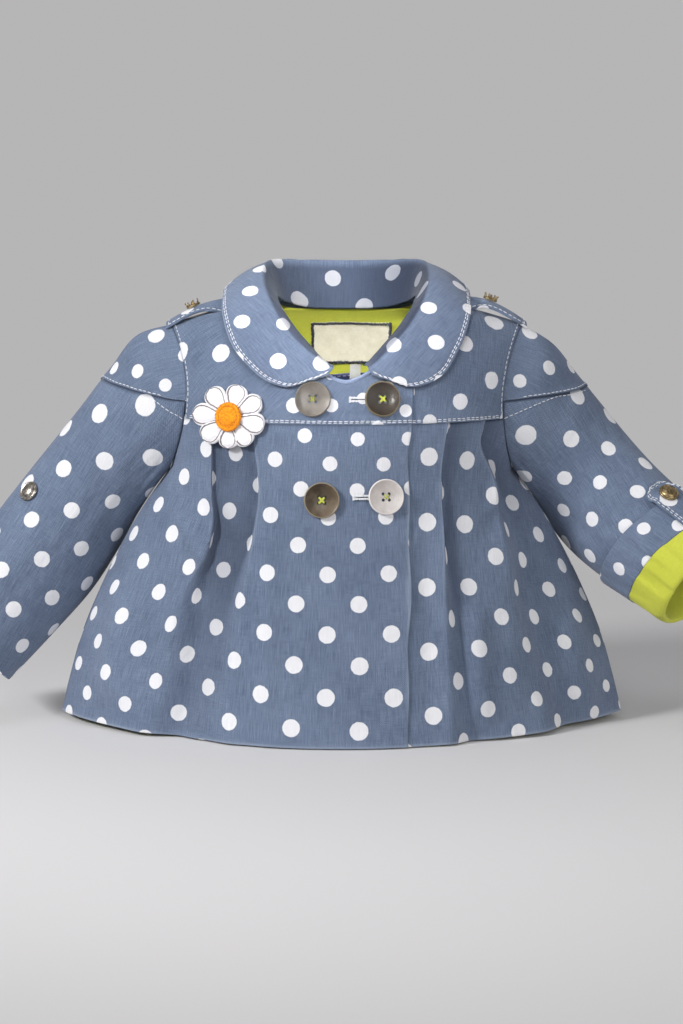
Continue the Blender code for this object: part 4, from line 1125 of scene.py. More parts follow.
LOWER_STITCHES = {  # place and turn in degrees of the row of stitches that goes on from the yoke's
    -1: ((0.004, 107.0), (0.025, 101.5), (0.055, 94.0), (0.080, 86.0), (0.100, 78.5)),
    1: (
        (0.006, 106.0),
        (0.030, 101.0),
        (0.065, 93.5),
        (0.110, 82.5),
        (0.150, 71.5),
        (0.180, 62.5),
        (0.251, 42.5),
        (0.296, 22.5),
    ),
}
for side, name, end, upper_dot, lower_dot in (
    (-1, "right", 1.00, (-0.1495, -0.024, -0.049), (-0.1770, -0.016, -0.0800)),
    (1, "left", 0.90, (0.1520, -0.022, -0.046), (0.1640, -0.018, -0.100)),
):
    half = np.linspace(0, CAP_TURNS[-1], 60)
    phi = np.concatenate((-half[:0:-1], half))
    reach = cap_place(side, phi)
    place = reach * np.linspace(0, 1, 44)[:, None]
    grid = sleeve(side, place, phi[None])
    grid[0] = armhole(side, phi)
    swell = 0.0009 * hump((place - reach) * 0.25, 0.0040) * (reach > 0.02)
    grid = grid + unit(grid - (side * 0.150, 0.008, -0.085)) * swell[..., None]
    grid = np.concatenate((sewn_rows(side, phi), grid))
    grid = outward(leaned(grid), (side * 0.145, 0.008, -0.080))
    wear_light_shade = 0.35 * hump(lengths_back(grid, 0) - 0.0008, 0.0008)
    # Painted shade in a thin line along the armhole seam.
    wear_light_shade = wear_light_shade - 0.5 * hump(lengths(grid, 0) - 0.0030, 0.0011)
    grid = turned_edge(grid, "last", 0.0006)
    wear_light_shade, middle = matched(wear_light_shade, len(grid)), grid.shape[1] // 2
    piece = panel(
        f"sleeve_{name}_upper_cloth", grid, upper_dot, middle, -1, closer=1.15, wear_and_painted_light=wear_light_shade
    )
    sewn_in(piece, f"sleeve_{name}_cap", grid)
    stitched(f"sleeve_{name}_upper_topstitch", [inset(grid[:, 8:-8], "last", 0.0016, 0.0006)])

    phi = SLEEVE_ROUND
    reach = cap_place(side, phi)
    place = reach + (end - reach) * np.linspace(0, 1, 120)[:, None]
    grid = sleeve(side, place, phi[None])
    below_cap = (reach > 0)[:, None]
    grid[0] = np.where(below_cap, grid[0], armhole(side, phi))
    folds = round_folds(SLEEVE_FOLDS[side], 4, place, phi[None]) * ease(place / 0.08)
    grid = raised(grid, side * folds)
    tuck = unit(np.array((side * 0.150, 0.008, -0.085)) - grid[0])
    back_in = sleeve(side, np.maximum(reach - 0.012, 0), phi)
    under_cap = np.array((back_in + tuck * 0.0012, grid[0] + tuck * 0.0007))
    grid = np.concatenate((np.where(below_cap, under_cap, sewn_rows(side, phi)), grid[1:]))
    grid = outward(leaned(grid), (side * 0.200, 0.008, -0.160))
    # Painted shade in a thin line along the top edge, under the curved seam and at the armhole.
    wear_light_shade = -0.85 * hump(lengths(grid[1:], 0) - 0.0006, 0.0013)
    wear_light_shade = np.concatenate((wear_light_shade[:1], wear_light_shade))
    if side < 0:
        grid = turned_edge(grid, "last", 0.0009)
    wear_light_shade, under_arm = matched(wear_light_shade, len(grid)), int(np.argmin(grid[-1, :, 2]))
    piece = panel(
        f"sleeve_{name}_cloth", grid, lower_dot, under_arm, -1, closer=0.94, ring=True, wear_and_painted_light=wear_light_shade
    )
    sewn_in(piece, f"sleeve_{name}", grid)
    seam = np.array(LOWER_STITCHES[side])
    turn = np.radians(np.linspace(seam[0, 1], seam[-1, 1], 60))
    place = through(-np.radians(seam[:, 1]), seam[:, 0], -turn)
    line = leaned(sleeve(side, place, turn, 0.0002))
    stitched(f"sleeve_{name}_topstitch", [(line, unit(line - (side * 0.160, 0.012, -0.100)))])


# ================================================================ the turned-up sleeve end
# The left sleeve is turned up twice over: its denim hem facing comes to lie outside, and beyond
# it the lime lining, which goes round the new end and back up inside.


def slanted(line, phi):
    """Place of a slanted ring round the sleeve, from its middle and its slant."""
    return line[0] + line[1] * np.cos(phi)


TURN_TOP, FACING_END, TURN_RISE = (0.757, 0.050), (0.885, 0.030), 0.0034
TURN_MIDDLE = (0.235, -0.020, -0.183)
TURN_FOLDS = (  # soft dents of the turned-up layers: place and turn of start and end, width, height
    ((0.76, 1.10), (0.86, 1.45), 0.060, -0.0012),
    ((0.84, 1.75), (0.98, 1.45), 0.055, 0.0018),
    ((0.86, 2.20), (1.00, 2.00), 0.060, -0.0018),
    ((0.80, 2.60), (0.98, 2.90), 0.070, 0.0016),
    ((0.80, 4.00), (0.98, 4.30), 0.080, 0.0016),
    ((0.78, 5.20), (0.96, 5.00), 0.080, -0.0014),
)
phi = SLEEVE_ROUND
first, last = slanted(TURN_TOP, phi), slanted(FACING_END, phi)
place = first + (last - first) * np.linspace(0, 1, 30)[:, None]
dents = round_folds(TURN_FOLDS, 2, place, phi[None])
grid = sleeve(1, place, phi[None], TURN_RISE + dents)
grid = outward(leaned(grid), TURN_MIDDLE)
grid = turned_edge(turned_edge(grid, "first", 0.0010), "last", 0.0006)
piece = panel(
    "turn_up_facing_cloth", grid, (0.2330, -0.058, -0.1935), grid.shape[1] // 2,
    closer=1.18, wall=0.0010, ring=True, finishes=(denim, denim),
)
sewn_in(piece, "cuff_facing", grid)

TURN_LINING = np.array(  # place and rise: down outside, round the sleeve's new end, up inside
    (
        (0.940, 0.0028),
        (0.970, 0.0030),
        (0.990, 0.0026),
        (1.000, 0.0019),
        (1.006, 0.0008),
        (1.007, -0.0006),
        (1.000, -0.0022),
        (0.970, -0.0029),
        (0.930, -0.0031),
        (0.860, -0.0031),
        (0.780, -0.0031),
    )
)
numbers = np.arange(len(TURN_LINING))
section = through(numbers, TURN_LINING, np.linspace(0, numbers[-1], 56))
place, rise = (section[:, k, None] + 0 * phi for k in (0, 1))
start = slanted(FACING_END, phi) - 0.006
lead = start + (TURN_LINING[0, 0] - start) * np.linspace(0, 1, 12)[:-1, None]
place, rise = np.concatenate((lead, place)), np.concatenate((0 * lead + 0.0027, rise))
dents = round_folds(TURN_FOLDS, 2, place, phi[None]) * np.where(rise > 0, 1.0, 0.6)
grid = outward(leaned(sleeve(1, place, phi[None], rise + dents)), TURN_MIDDLE)
piece = panel("turn_up_lining_cloth", grid, wall=0.0007, ring=True, finishes=(lime, lime))
sewn_in(piece, "cuff_lining", grid)


# ================================================================ the collar
# A round two-layer collar on a low stand: it rises from the neck seam, folds over at its roll line
# and lies on the shoulders, its outer edge topstitched twice.

COLLAR = np.array(  # half of it from the centre back to the tip: seam, roll line and outer edge
    (
        ((0.000, 0.0405, -0.0100), (0.000, 0.0480, 0.0245), (0.000, 0.0760, -0.0140)),
        ((0.026, 0.0365, -0.0090), (0.031, 0.0440, 0.0250), (0.041, 0.0730, -0.0120)),
        ((0.043, 0.0230, -0.0040), (0.052, 0.0290, 0.0260), (0.073, 0.0520, 0.0010)),
        ((0.049, 0.0040, 0.0010), (0.0595, 0.0060, 0.0230), (0.0870, 0.0190, 0.0070)),
        ((0.0480, -0.0140, -0.0010), (0.0595, -0.0160, 0.0125), (0.0885, -0.0200, -0.0010)),
        ((0.0440, -0.0300, -0.0085), (0.0540, -0.0345, -0.0010), (0.0865, -0.0420, -0.0125)),
        ((0.0355, -0.0430, -0.0205), (0.0435, -0.0525, -0.0180), (0.0790, -0.0580, -0.0310)),
        ((0.0245, -0.0540, -0.0325), (0.0305, -0.0635, -0.0320), (0.0640, -0.0690, -0.0495)),
        ((0.0175, -0.0590, -0.0400), (0.0215, -0.0690, -0.0400), (0.0450, -0.0735, -0.0575)),
        ((0.0130, -0.0610, -0.0440), (0.0160, -0.0715, -0.0440), (0.0280, -0.0745, -0.0530)),
        ((0.0105, -0.0625, -0.0455), (0.0125, -0.0730, -0.0452), (0.0155, -0.0762, -0.0480)),
    )
)
COLLAR_LIFT, COLLAR_STITCHES = 0.0045, (0.0020, 0.0034)
OUTSIDE = 27  # the first row of the collar's grid, before it is respaced, past its roll line


def clear_of_body(points, lift):
    """The places with those below the shoulders pushed out to a lift above the body."""
    back = points[..., 1] > 0
    x, z = points[..., 0], points[..., 2]
    near = np.where(back[..., None], body(x, z, True), body(x, z))
    out = np.where(back[..., None], body_out(x, z, True), body_out(x, z))
    short = lift - np.sum((points - near) * out, -1)
    on_it = (z < shoulder(x) - 0.004) & (short > 0)
    return points + out * np.where(on_it, short, 0.0)[..., None]


def respaced(points, near_edge, rest):
    """The grid with its rows at set distances from the last one, then evenly to the first."""
    columns = []
    for column in points.transpose(1, 0, 2)[:, ::-1]:
        along = lengths(column[:, None], 0)[:, 0]
        whole = along[-1]
        edge = np.minimum(near_edge, whole * np.linspace(0, 0.5, len(near_edge)))
        at = np.concatenate((edge, np.linspace(edge[-1], whole, rest + 1)[1:]))
        columns.append(on_line(column, along, at))
    return np.array(columns).transpose(1, 0, 2)[::-1]


def facing_way(points, way, rows=slice(None)):
    """The grid with its columns in the order that makes it, or some rows of it, face a way."""
    return points[:, ::-1] if np.sum(facing(points)[rows] @ np.array(way)) < 0 else points


def third_corner(first, second, to_first, to_second, across):
    """The flat place at set distances from two others, on one side of the line between them."""
    base = second - first
    reach = (to_first**2 - to_second**2 + abs(base) ** 2) / (2 * abs(base))
    aside = across * math.sqrt(max(to_first**2 - reach**2, 0))
    return first + base / abs(base) * (reach + 1j * aside)


def opened_out(roll, edge, across):
    """Flat places of the strip between two lines, whose triangles keep their sides' lengths."""
    gap = np.linalg.norm
    flat = [(0j, -1j * gap(edge[0] - roll[0]))]
    for k in range(len(roll) - 1):
        one, two = flat[-1]
        along, slant = gap(roll[k + 1] - roll[k]), gap(roll[k + 1] - edge[k])
        next_one = third_corner(one, two, along, slant, across)
        down, beside = gap(edge[k + 1] - roll[k + 1]), gap(edge[k + 1] - edge[k])
        flat.append((next_one, third_corner(next_one, two, down, beside, across)))
    return np.array(flat).T


def collar_prints(grid, dot_at, closer):
    """Cloth coordinates of the collar: the part that lies on the shoulders is opened out flat from
    the roll line, and the stand goes on from it upwards."""
    from_seam = lengths(grid, 0)
    middle = grid.shape[1] // 2
    top = np.argmax(grid[: len(grid) // 2 + 20, middle, 2])
    halves = []
    for across, columns in ((1, slice(middle, None)), (-1, slice(middle, None, -1))):
        roll, edge = opened_out(grid[top, columns], grid[-1, columns], across)
        down = (edge - roll) / abs(edge - roll)
        halves.append(roll + down * (from_seam[:, columns] - from_seam[top, columns]))
    flat = np.concatenate((halves[1][:, :0:-1], halves[0]), 1)
    return as_prints(flat * closer, grid, dot_at)


last = len(COLLAR) - 1
station = np.linspace(0, last, 141)
seam, roll, edge = (through(np.arange(last + 1), COLLAR[:, k], station) for k in range(3))
flat = ease((station - 3) / 3)[:, None]
up = np.array((0.0, 0.0, 1.0)) * (1 - flat) + unit(np.array((0.3, -1.0, 0.35))) * flat
across = unit(edge - roll)
high = np.linalg.norm(roll - seam, axis=-1, keepdims=True)
full = np.clip(np.linalg.norm(edge - roll, axis=-1, keepdims=True) / 0.025, 0.2, 1)
rows = [seam, seam + (roll - seam) * 0.62 - across * high * 0.05]
rows.append(roll - (across * 0.0012 + up * 0.0008) * full)
rows.append(roll + (across * 0.0016 + up * 0.0003) * full)
for share in (0.26, 0.5, 0.75, 1.0):
    bulge = (0.0030 * (1 - flat) + 0.0012 * flat) * full * math.sin(math.pi * share)
    rows.append(roll + (edge - roll) * share + up * bulge)
half = np.array(rows)
half[:2, :, 2] += 0.0018 * ease((station - 4) / 2)
half = through(np.arange(8), half, np.linspace(0, 7, 64))
grid = mirrored(half)
grid[..., 0] += 0.0030 * ease((-0.058 - grid[..., 1]) / 0.012)  # both points swing to the left
grid[OUTSIDE:] = clear_of_body(grid[OUTSIDE:], COLLAR_LIFT)
near_rim = np.array((0, 0.6, 1.2, 1.7, 2.1, 2.5, 2.9, 3.3, 3.8, 4.4, 5.2)) / 1000
grid = respaced(grid, near_rim, 54)
from_rim = lengths_back(grid, 0)
along = lengths(grid[-1:], 1)
pucker = np.sin(along * 1100 + 2.2 * np.sin(along * 190)) * 0.00028 * hump(from_rim - 0.003, 0.0030)
groove = sum(0.00030 * hump(from_rim - at, 0.0005) for at in COLLAR_STITCHES)
grid = facing_way(leaned(grid), (0, 0, 1), slice(-8, None))
grid = raised(grid, -groove - pucker)
prints = collar_prints(grid, (-0.0700, -0.052, -0.010), 1.04)
wear_light_shade = 0.5 * hump(lengths_back(grid, 0), 0.0012)
tall = np.concatenate((high[:0:-1, 0], high[:, 0]))
# Painted shade: the stand below the roll line is darkened, and the collar's half on the wearer's
# left is darkened a little.
wear_light_shade = wear_light_shade - 0.60 * (1 - ease((lengths(grid, 0) / tall - 0.80) / 0.25))
wear_light_shade = wear_light_shade - 0.35 * ease(grid[..., 0] / 0.05)
grid = turned_edge(grid, "last", 0.0010)
wear_light_shade, prints = matched(wear_light_shade, len(grid)), matched(prints, len(grid))
piece = panel(
    "collar_cloth", grid, wall=0.0009, finishes=(denim, denim), wear_and_painted_light=wear_light_shade, prints=prints
)
sewn_in(piece, "collar", grid)
rows = [inset(grid[:, 2:-2], "last", at, 0.0010) for at in COLLAR_STITCHES]
stitched("collar_topstitch", rows)


# ================================================================ the lining, label and size tag
# Behind the neck hangs the lime cotton lining. On it a woven cream label is sewn down with a
# ragged dark overlocked edge, and a small white size tag sits under it. Both are left blank.

cream, surface, cloth_place, _ = new_finish(
    "cream_woven_label", Sheen_Weight=0.1, Specular_IOR_Level=0.2
)
ribs = cloth_place.stretched(300, 2600).noise(1.0, 2.0) * 0.5
ribs = ribs + cloth_place.stretched(2600, 300).noise(1.0, 2.0) * 0.5
cloud = cloth_place.noise(90, 4.0, 0.65)
shade = (ribs * 0.5 + cloud * 0.5).between(0.3, 0.7)
feed(surface, Base_Color=shade.blend((0.72, 0.66, 0.50), (0.90, 0.85, 0.70)))
feed(surface, Roughness=0.80 + ribs * 0.1)
feed(surface, Normal=ribs.bump(0.00015, 0.8))
white_tape, surface, cloth_place, _ = new_finish("white_tape", Sheen_Weight=0.1)
ribs = cloth_place.stretched(300, 2200).noise(1.0, 2.0)
feed(surface, Base_Color=ribs.blend((0.50, 0.50, 0.48), (0.68, 0.68, 0.66)))
feed(surface, Roughness=0.70 + ribs * 0.1)
grey_thread = thread_finish("grey_thread", (0.070, 0.075, 0.085), 0.7)

LINING_SINK, LINING_FOOT, LABEL_RISE, NECK_DROP = 0.0027, -0.112, 0.0024, 0.0010
LINING_FOLDS = (  # start x z, end x z, width, height
    ((-0.036, -0.016), (-0.010, -0.030), 0.0050, 0.0007),
    ((0.046, -0.020), (0.030, -0.040), 0.0050, 0.0006),
    ((-0.040, -0.050), (-0.028, -0.085), 0.0060, 0.0006),
    ((0.044, -0.055), (0.036, -0.100), 0.0070, 0.0006),
    ((-0.020, -0.078), (0.004, -0.100), 0.0060, -0.0005),
)
share, t = np.linspace(-1, 1, 91), np.linspace(0, 1, 60)[:, None]
top = NECK_BACK - NECK_DROP + 0.0015 * np.abs(share) ** 3
x, z = share * (0.043 + 0.055 * (1 - t) ** 0.6), LINING_FOOT + (top - LINING_FOOT) * t
grid = leaned(on_body(x, z, -LINING_SINK, True))
for start, end, width, height in LINING_FOLDS:
    grid = grid - np.array((0, 1, 0)) * crease(grid, start, end, width, height)[..., None]
grid = facing_way(grid, (0, -1, 0))
piece = panel("neck_lining_cloth", grid, wall=0.0006, finishes=(lime, lime))
sewn_in(piece, "back_lining", grid)


def shaken(places, ends, wave):
    """Places across a label, moved by a wave near its two edges, the opposite way at each."""
    from_middle = places - np.mean(ends)
    near_edge = (np.abs(from_middle) * 2 / (ends[1] - ends[0])) ** 8
    return places + wave * np.sign(from_middle) * near_edge


def inner_label(name, x_ends, z_ends, rows, finish, ragged):
    """A label on the lining, its edges a little uneven, and its grid."""
    x, z = np.meshgrid(np.linspace(*x_ends, 61), np.linspace(*z_ends, rows))
    x = shaken(x, x_ends, ragged * np.sin(z * 1900 + 3 * np.sin(z * 700)))
    z = shaken(z, z_ends, ragged * np.sin(x * 1700 + 3 * np.sin(x * 610)))
    swell = 0.0004 * np.sin(x * 120 + z * 60)
    grid = leaned(on_body(x, z, -(LINING_SINK + LABEL_RISE) - swell, True))
    grid = facing_way(grid, (0, -1, 0))
    return panel(name, grid, wall=0.0005, finishes=(finish, finish)), grid


piece, grid = inner_label(
    "neck_label_cloth", (-0.0262, 0.0340), (-0.0510, -0.0180), 45, cream, 0.00025
)
sewn_in(piece, "neck_label", grid)
dice, edging = random.Random(5), []
for line, outs in [inset(grid, side, 0.0008) for side in ("first", "last", "left", "right")]:
    along = lengths(line[:, None], 0)[:, 0]
    for at in np.arange(0.0004, along[-1], 0.00085):
        place, out = on_line(line, along, at), on_line(outs, along, at)
        run = unit(np.gradient(line, axis=0)[np.argmin(np.abs(along - at))])
        across = unit(np.cross(out, run) + run * dice.uniform(-0.5, 0.5))
        across = across * 0.0011 * dice.uniform(0.7, 1.4)
        edging.append((np.array((place - across, place + across)), np.array((out, out))))
stitched("neck_label_edging", edging, grey_thread, "cream_label", 0.0026, 0.0027, 0.00060)
piece, _ = inner_label(
    "size_tag_cloth", (0.0035, 0.0115), (-0.0630, -0.0515), 15, white_tape, 0.0001
)
declared(piece, "size_tag")


# ================================================================ the neck's front edge
# Between the collar's points the neck is bound with a narrow pale edge. Inside, under the labels,
# a strip of dark blue satin finishes the lining, with one row of white stitches.

satin, surface, cloth_place, _ = new_finish("navy_satin", Roughness=0.38, Sheen_Weight=0.15)
sheen = cloth_place.stretched(60, 900).noise(1.0, 2.0)
feed(surface, Base_Color=sheen.blend((0.012, 0.018, 0.075), (0.030, 0.042, 0.150)))
pale_edge, surface, cloth_place, _ = new_finish("pale_binding", Roughness=0.8)
feed(surface, Base_Color=cloth_place.noise(1500, 2.0).blend((0.15, 0.20, 0.32), (0.30, 0.36, 0.50)))
BINDING = (  # up from the neckline and out from the cloth, over the edge from front to inside
    (-0.0019, 0.0010),
    (-0.0004, 0.0014),
    (0.0007, 0.0006),
    (0.0004, -0.0008),
    (-0.0020, -0.0016),
)
x = np.linspace(-0.0225, 0.0225, 71)
steps = through(np.arange(5), BINDING, np.linspace(0, 4, 25))
grid = np.array(
    [on_body(x, neckline(x) + up, lap_rise(-1, x) + 0.0006 + out) for up, out in steps]
)
grid = outward(leaned(grid), (0, -0.046, -0.060))
declared(panel("neck_edge_binding", grid, wall=0.0004, finishes=(pale_edge, pale_edge)))
x, z = np.meshgrid(np.linspace(-0.030, 0.033, 61), np.linspace(-0.0760, -0.0595, 15))
z = z + 0.0010 * np.sin(x * 90 + 0.6)
grid = facing_way(leaned(on_body(x, z, -(LINING_SINK + 0.0012), True)), (0, -1, 0))
declared(panel("neck_strip_satin", grid, wall=0.0005, finishes=(satin, satin)))
stitched("neck_strip_stitches", [inset(grid, "last", 0.0020)])


# ================================================================ the buttons
# Four big four-hole buttons in different colours, each dished with a raised rim and sewn on with
# lime thread. The left-hand pair is only for show; the right-hand pair goes through buttonholes.

lime_thread = thread_finish("lime_thread", (0.62, 0.66, 0.10), 0.6)


def placed(at, out):
    """The matrix that stands a piece made at the origin on a place, facing out."""
    out = unit(np.asarray(out, float))
    side = unit(np.cross((0.0, 0.0, 1.0), out))
    return standing(side, np.cross(out, side), out, at)


def spun(profile, at, out, sides=56, fine=4):
    """The mesh of a turned piece: its profile, radius and height from base to top, spun round."""
    mesh, last = bmesh.new(), len(profile) - 1
    smooth = through(np.arange(last + 1), profile, np.linspace(0, last, fine * last + 1))
    points = [mesh.verts.new((max(r, 0.0), 0, h)) for r, h in smooth]
    edges = [mesh.edges.new(ends) for ends in zip(points, points[1:])]
    bmesh.ops.spin(
        mesh, geom=points + edges, cent=(0, 0, 0), axis=(0, 0, 1), dvec=(0, 0, 0),
        angle=2 * math.pi, steps=sides, use_merge=True,
    )
    bmesh.ops.remove_doubles(mesh, verts=mesh.verts, dist=1e-6)
    bmesh.ops.recalc_face_normals(mesh, faces=mesh.faces)
    layer = mesh.loops.layers.uv.new("cloth")
    for face in mesh.faces:
        for loop in face.loops:
            loop[layer].uv = loop.vert.co.xy
    bmesh.ops.transform(mesh, matrix=placed(at, out), verts=mesh.verts)
    return mesh


def button_finish(name, dark, pale, rim, roughness):
    """Clouded polished plastic with faint turning marks, in another colour along the rim."""
    finish, surface, cloth_place, _ = new_finish(
        name, Coat_Weight=0.15, Coat_Roughness=0.15, Specular_IOR_Level=0.32
    )
    u, v, _ = cloth_place.parts()
    radius = (u * u + v * v) ** 0.5
    cloud = cloth_place.noise(110, 3.0, 0.6)
    turned = (radius * 5200 + cloud * 9).maths("SINE") * 0.5 + 0.5
    # The (u - v) term is painted light and shade: each button is paler towards the lower right and
    # darker towards the upper left, seen from the front.
    shade = (cloud * 0.85 + turned * 0.15 + (u - v) * 14).between(0.20, 0.85)
    feed(surface, Base_Color=radius.between(*BUTTON_RIM).blend(shade.blend(dark, pale), rim))
    feed(surface, Roughness=roughness + cloud * 0.15)
    feed(surface, Normal=(turned * 0.2 + cloud).bump(0.00010, 0.4))
    return finish


BUTTON_RIM, HOLE_APART, HOLE_RADIUS = (0.0112, 0.0120), 0.0021, 0.00112
BUTTON_PROFILE = (
    (0, 0), (10.5, 0), (12.1, 0.5), (12.5, 1.5), (12.2, 2.7), (11.7, 3.0),
    (11.1, 2.75), (9.0, 2.2), (6.0, 1.7), (3.0, 1.45), (0, 1.4),
)
BUTTONS = {  # x z, colour, its dark, pale and rim shades, roughness, whether its thread is bold
    "upper_right": (
        (-0.0218, -0.0667), "taupe",
        (0.085, 0.074, 0.062), (0.215, 0.192, 0.168), (0.190, 0.165, 0.135), 0.34, False,
    ),
    "upper_left": (
        (0.0255, -0.0667), "espresso",
        (0.016, 0.010, 0.006), (0.040, 0.027, 0.017), (0.200, 0.160, 0.095), 0.42, True,
    ),
    "lower_right": (
        (-0.0133, -0.1355), "bronze",
        (0.026, 0.017, 0.009), (0.150, 0.110, 0.070), (0.260, 0.215, 0.150), 0.34, True,
    ),
    "lower_left": (
        (0.0303, -0.1335), "shell",
        (0.400, 0.360, 0.340), (0.620, 0.580, 0.560), (0.700, 0.660, 0.640), 0.30, False,
    ),
}
for name, ((x, z), colour, dark, pale, rim, roughness, bold) in BUTTONS.items():
    at, out = leaned(on_body(x, z, LAP_RISE + 0.0006)), body_out(x, z)
    disc = spun(np.array(BUTTON_PROFILE) / 1000, at, out)
    finish = button_finish(colour + "_button", dark, pale, rim, roughness)
    piece = made(f"button_{name}_disc", disc, finish, colour + "_button", f"button_{name}")
    frame_of = placed(at, out)
    mesh = bmesh.new()
    for across in (-HOLE_APART, HOLE_APART):
        for above in (-HOLE_APART, HOLE_APART):
            bmesh.ops.create_cone(
                mesh, cap_ends=True, segments=16, radius1=HOLE_RADIUS, radius2=HOLE_RADIUS,
                depth=0.012, matrix=frame_of @ Matrix.Translation((across, above, 0.0015)),
            )
    cutter = object_of("holes", mesh)
    holes = piece.modifiers.new("holes", "BOOLEAN")
    holes.operation, holes.object = "DIFFERENCE", cutter
    bpy.context.view_layer.objects.active = piece
    bpy.ops.object.modifier_apply(modifier="holes")
    bpy.data.objects.remove(cutter, do_unlink=True)
    piece.data.set_sharp_from_angle(angle=math.radians(50))
    strands = []
    for number, ends in enumerate((((-1, -1), (1, 1)), ((-1, 1), (1, -1)))):
        height = 0.0019 + 0.0003 * number
        one, two = (np.array((across * 0.0020, above * 0.0020, height)) for across, above in ends)
        for beside in (-0.0004, 0.0, 0.0004) if bold else (-0.00022, 0.00022):
            aside = unit(np.cross(two - one, (0, 0, 1.0))) * beside
            strand = [np.array(frame_of @ Vector(end + aside)) for end in (one, two)]
            strands.append((np.array(strand), np.array((out, out))))
    length, radius = (0.0062, 0.00042) if bold else (0.0050, 0.00028)
    stitched(f"button_{name}_thread", strands, lime_thread, "lime_lining", length, 0.02, radius)

# Near-black thread, laid along each buttonhole's slit as painted shadow in its opening.
painted_slit_shadow = thread_finish("painted_slit_shadow", (0.020, 0.024, 0.036), 0.9)


def beside_slit(x_ends, z_ends, z):
    """One stitch over a buttonhole's edge, and its directions out."""
    x_ends = np.array(x_ends)
    return leaned(on_body(x_ends, z + np.array(z_ends), LAP_RISE + 0.0012)), body_out(x_ends, z)


for name in ("upper_left", "lower_left"):
    x, z = BUTTONS[name][0]
    start, end = x - 0.0215, x - 0.0050
    edge = []
    for at in np.arange(start, end, 0.00052):
        edge += [beside_slit((at, at), (0.0003 * above, 0.0018 * above), z) for above in (-1, 1)]
    for above in np.arange(-0.0018, 0.0019, 0.0005):
        edge.append(beside_slit((start - 0.0016, start + 0.0002), (above, above), z))
    stitched(f"buttonhole_{name}_edge", edge, length=0.0017, pitch=0.01, radius=0.00034)
    along = np.linspace(start, end, 12)
    # The slit: a dark thread as painted shadow in the buttonhole's opening.
    slit = leaned(on_body(along, z, LAP_RISE + 0.0008)), body_out(along, z)
    stitched(f"buttonhole_{name}_slit", [slit], painted_slit_shadow, "denim", 0.0180, 0.05, 0.00042)


# ================================================================ the daisy
# An applique on the wearer's right front: eight padded white petals, each with a corded border and
# a grey stitched outline, sewn round a domed orange middle.

petal, surface, _, place = new_finish("white_petal", Sheen_Weight=0.1, Specular_IOR_Level=0.25)
weave = place.noise(1400, 2.0)
wander = place.noise(500, 2.0) * 0.0008 - 0.0004
off_outline = (attribute(surface, "rim") + wander - 0.0018).maths("ABSOLUTE")
white = weave.blend((0.74, 0.72, 0.74), (0.90, 0.88, 0.90))
grey = (0.17, 0.15, 0.16)
feed(surface, Base_Color=(1 - off_outline.between(0.00030, 0.00060)).blend(white, grey))
feed(surface, Roughness=0.75 + weave * 0.15)
feed(surface, Normal=weave.bump(0.0002, 0.7))
DAISY_AT, DAISY_RISE, PETAL_START = (-0.0777, -0.0800), 0.0042, 0.0055
PETALS = (  # direction in degrees, reach, half width
    (77, 0.0222, 0.0076),
    (31, 0.0240, 0.0072),
    (-13, 0.0246, 0.0076),
    (-52, 0.0232, 0.0070),
    (-91, 0.0214, 0.0068),
    (-138, 0.0240, 0.0078),
    (178, 0.0262, 0.0080),
    (130, 0.0238, 0.0076),
)
mesh, rim_values = bmesh.new(), []
for number, (angle, reach, half_width) in enumerate(PETALS):
    along = np.sin(np.linspace(0.0, math.pi / 2, 25))[:, None]
    across = np.sin(np.linspace(-math.pi / 2, math.pi / 2, 27))[None]
    rounded = np.sqrt(1 - ((along - 0.62) / 0.38).clip(0, 1) ** 2.6)
    width = half_width * rounded * (0.50 + 0.50 * ease(along / 0.66))
    out_along = PETAL_START + (reach - PETAL_START) * along
    beside, from_side = across * width, 1 - np.abs(across)
    inside = np.minimum(from_side * width, reach - out_along + from_side * 0.002)
    edge = np.clip(inside / 0.0016, 0, 1)
    ridge = 0.0007 * np.sin(math.pi * np.clip(inside / 0.0022, 0, 1)) ** 0.8
    pad = 0.0011 * ease((inside - 0.0020) / 0.0030)
    rise = DAISY_RISE - 0.0009 + 0.0008 * edge**0.5 + ridge + pad + 0.0002 * (number % 3)
    lean = math.radians(angle)
    x = DAISY_AT[0] + out_along * math.cos(lean) - beside * math.sin(lean)
    z = DAISY_AT[1] + out_along * math.sin(lean) + beside * math.cos(lean)
    made_so = leaned(on_body(x, z, rise))
    points = outward(made_so, (DAISY_AT[0], 0.0, DAISY_AT[1]))
    corners = bmesh.ops.create_grid(mesh, x_segments=26, y_segments=24, size=1)["verts"]
    for vert, co in zip(corners, points.reshape(-1, 3)):
        vert.co = co
    rim_values.append(inside if points is made_so else inside[:, ::-1])
piece = made("daisy_petals_cloth", mesh, petal, "white_cloth", "daisy_petals")
rims = np.array(rim_values, np.float32).reshape(-1)
piece.data.attributes.new("rim", "FLOAT", "POINT").data.foreach_set("value", rims)
shell = piece.modifiers.new("wall", "SOLIDIFY")
shell.thickness, shell.offset = 0.0008, -1

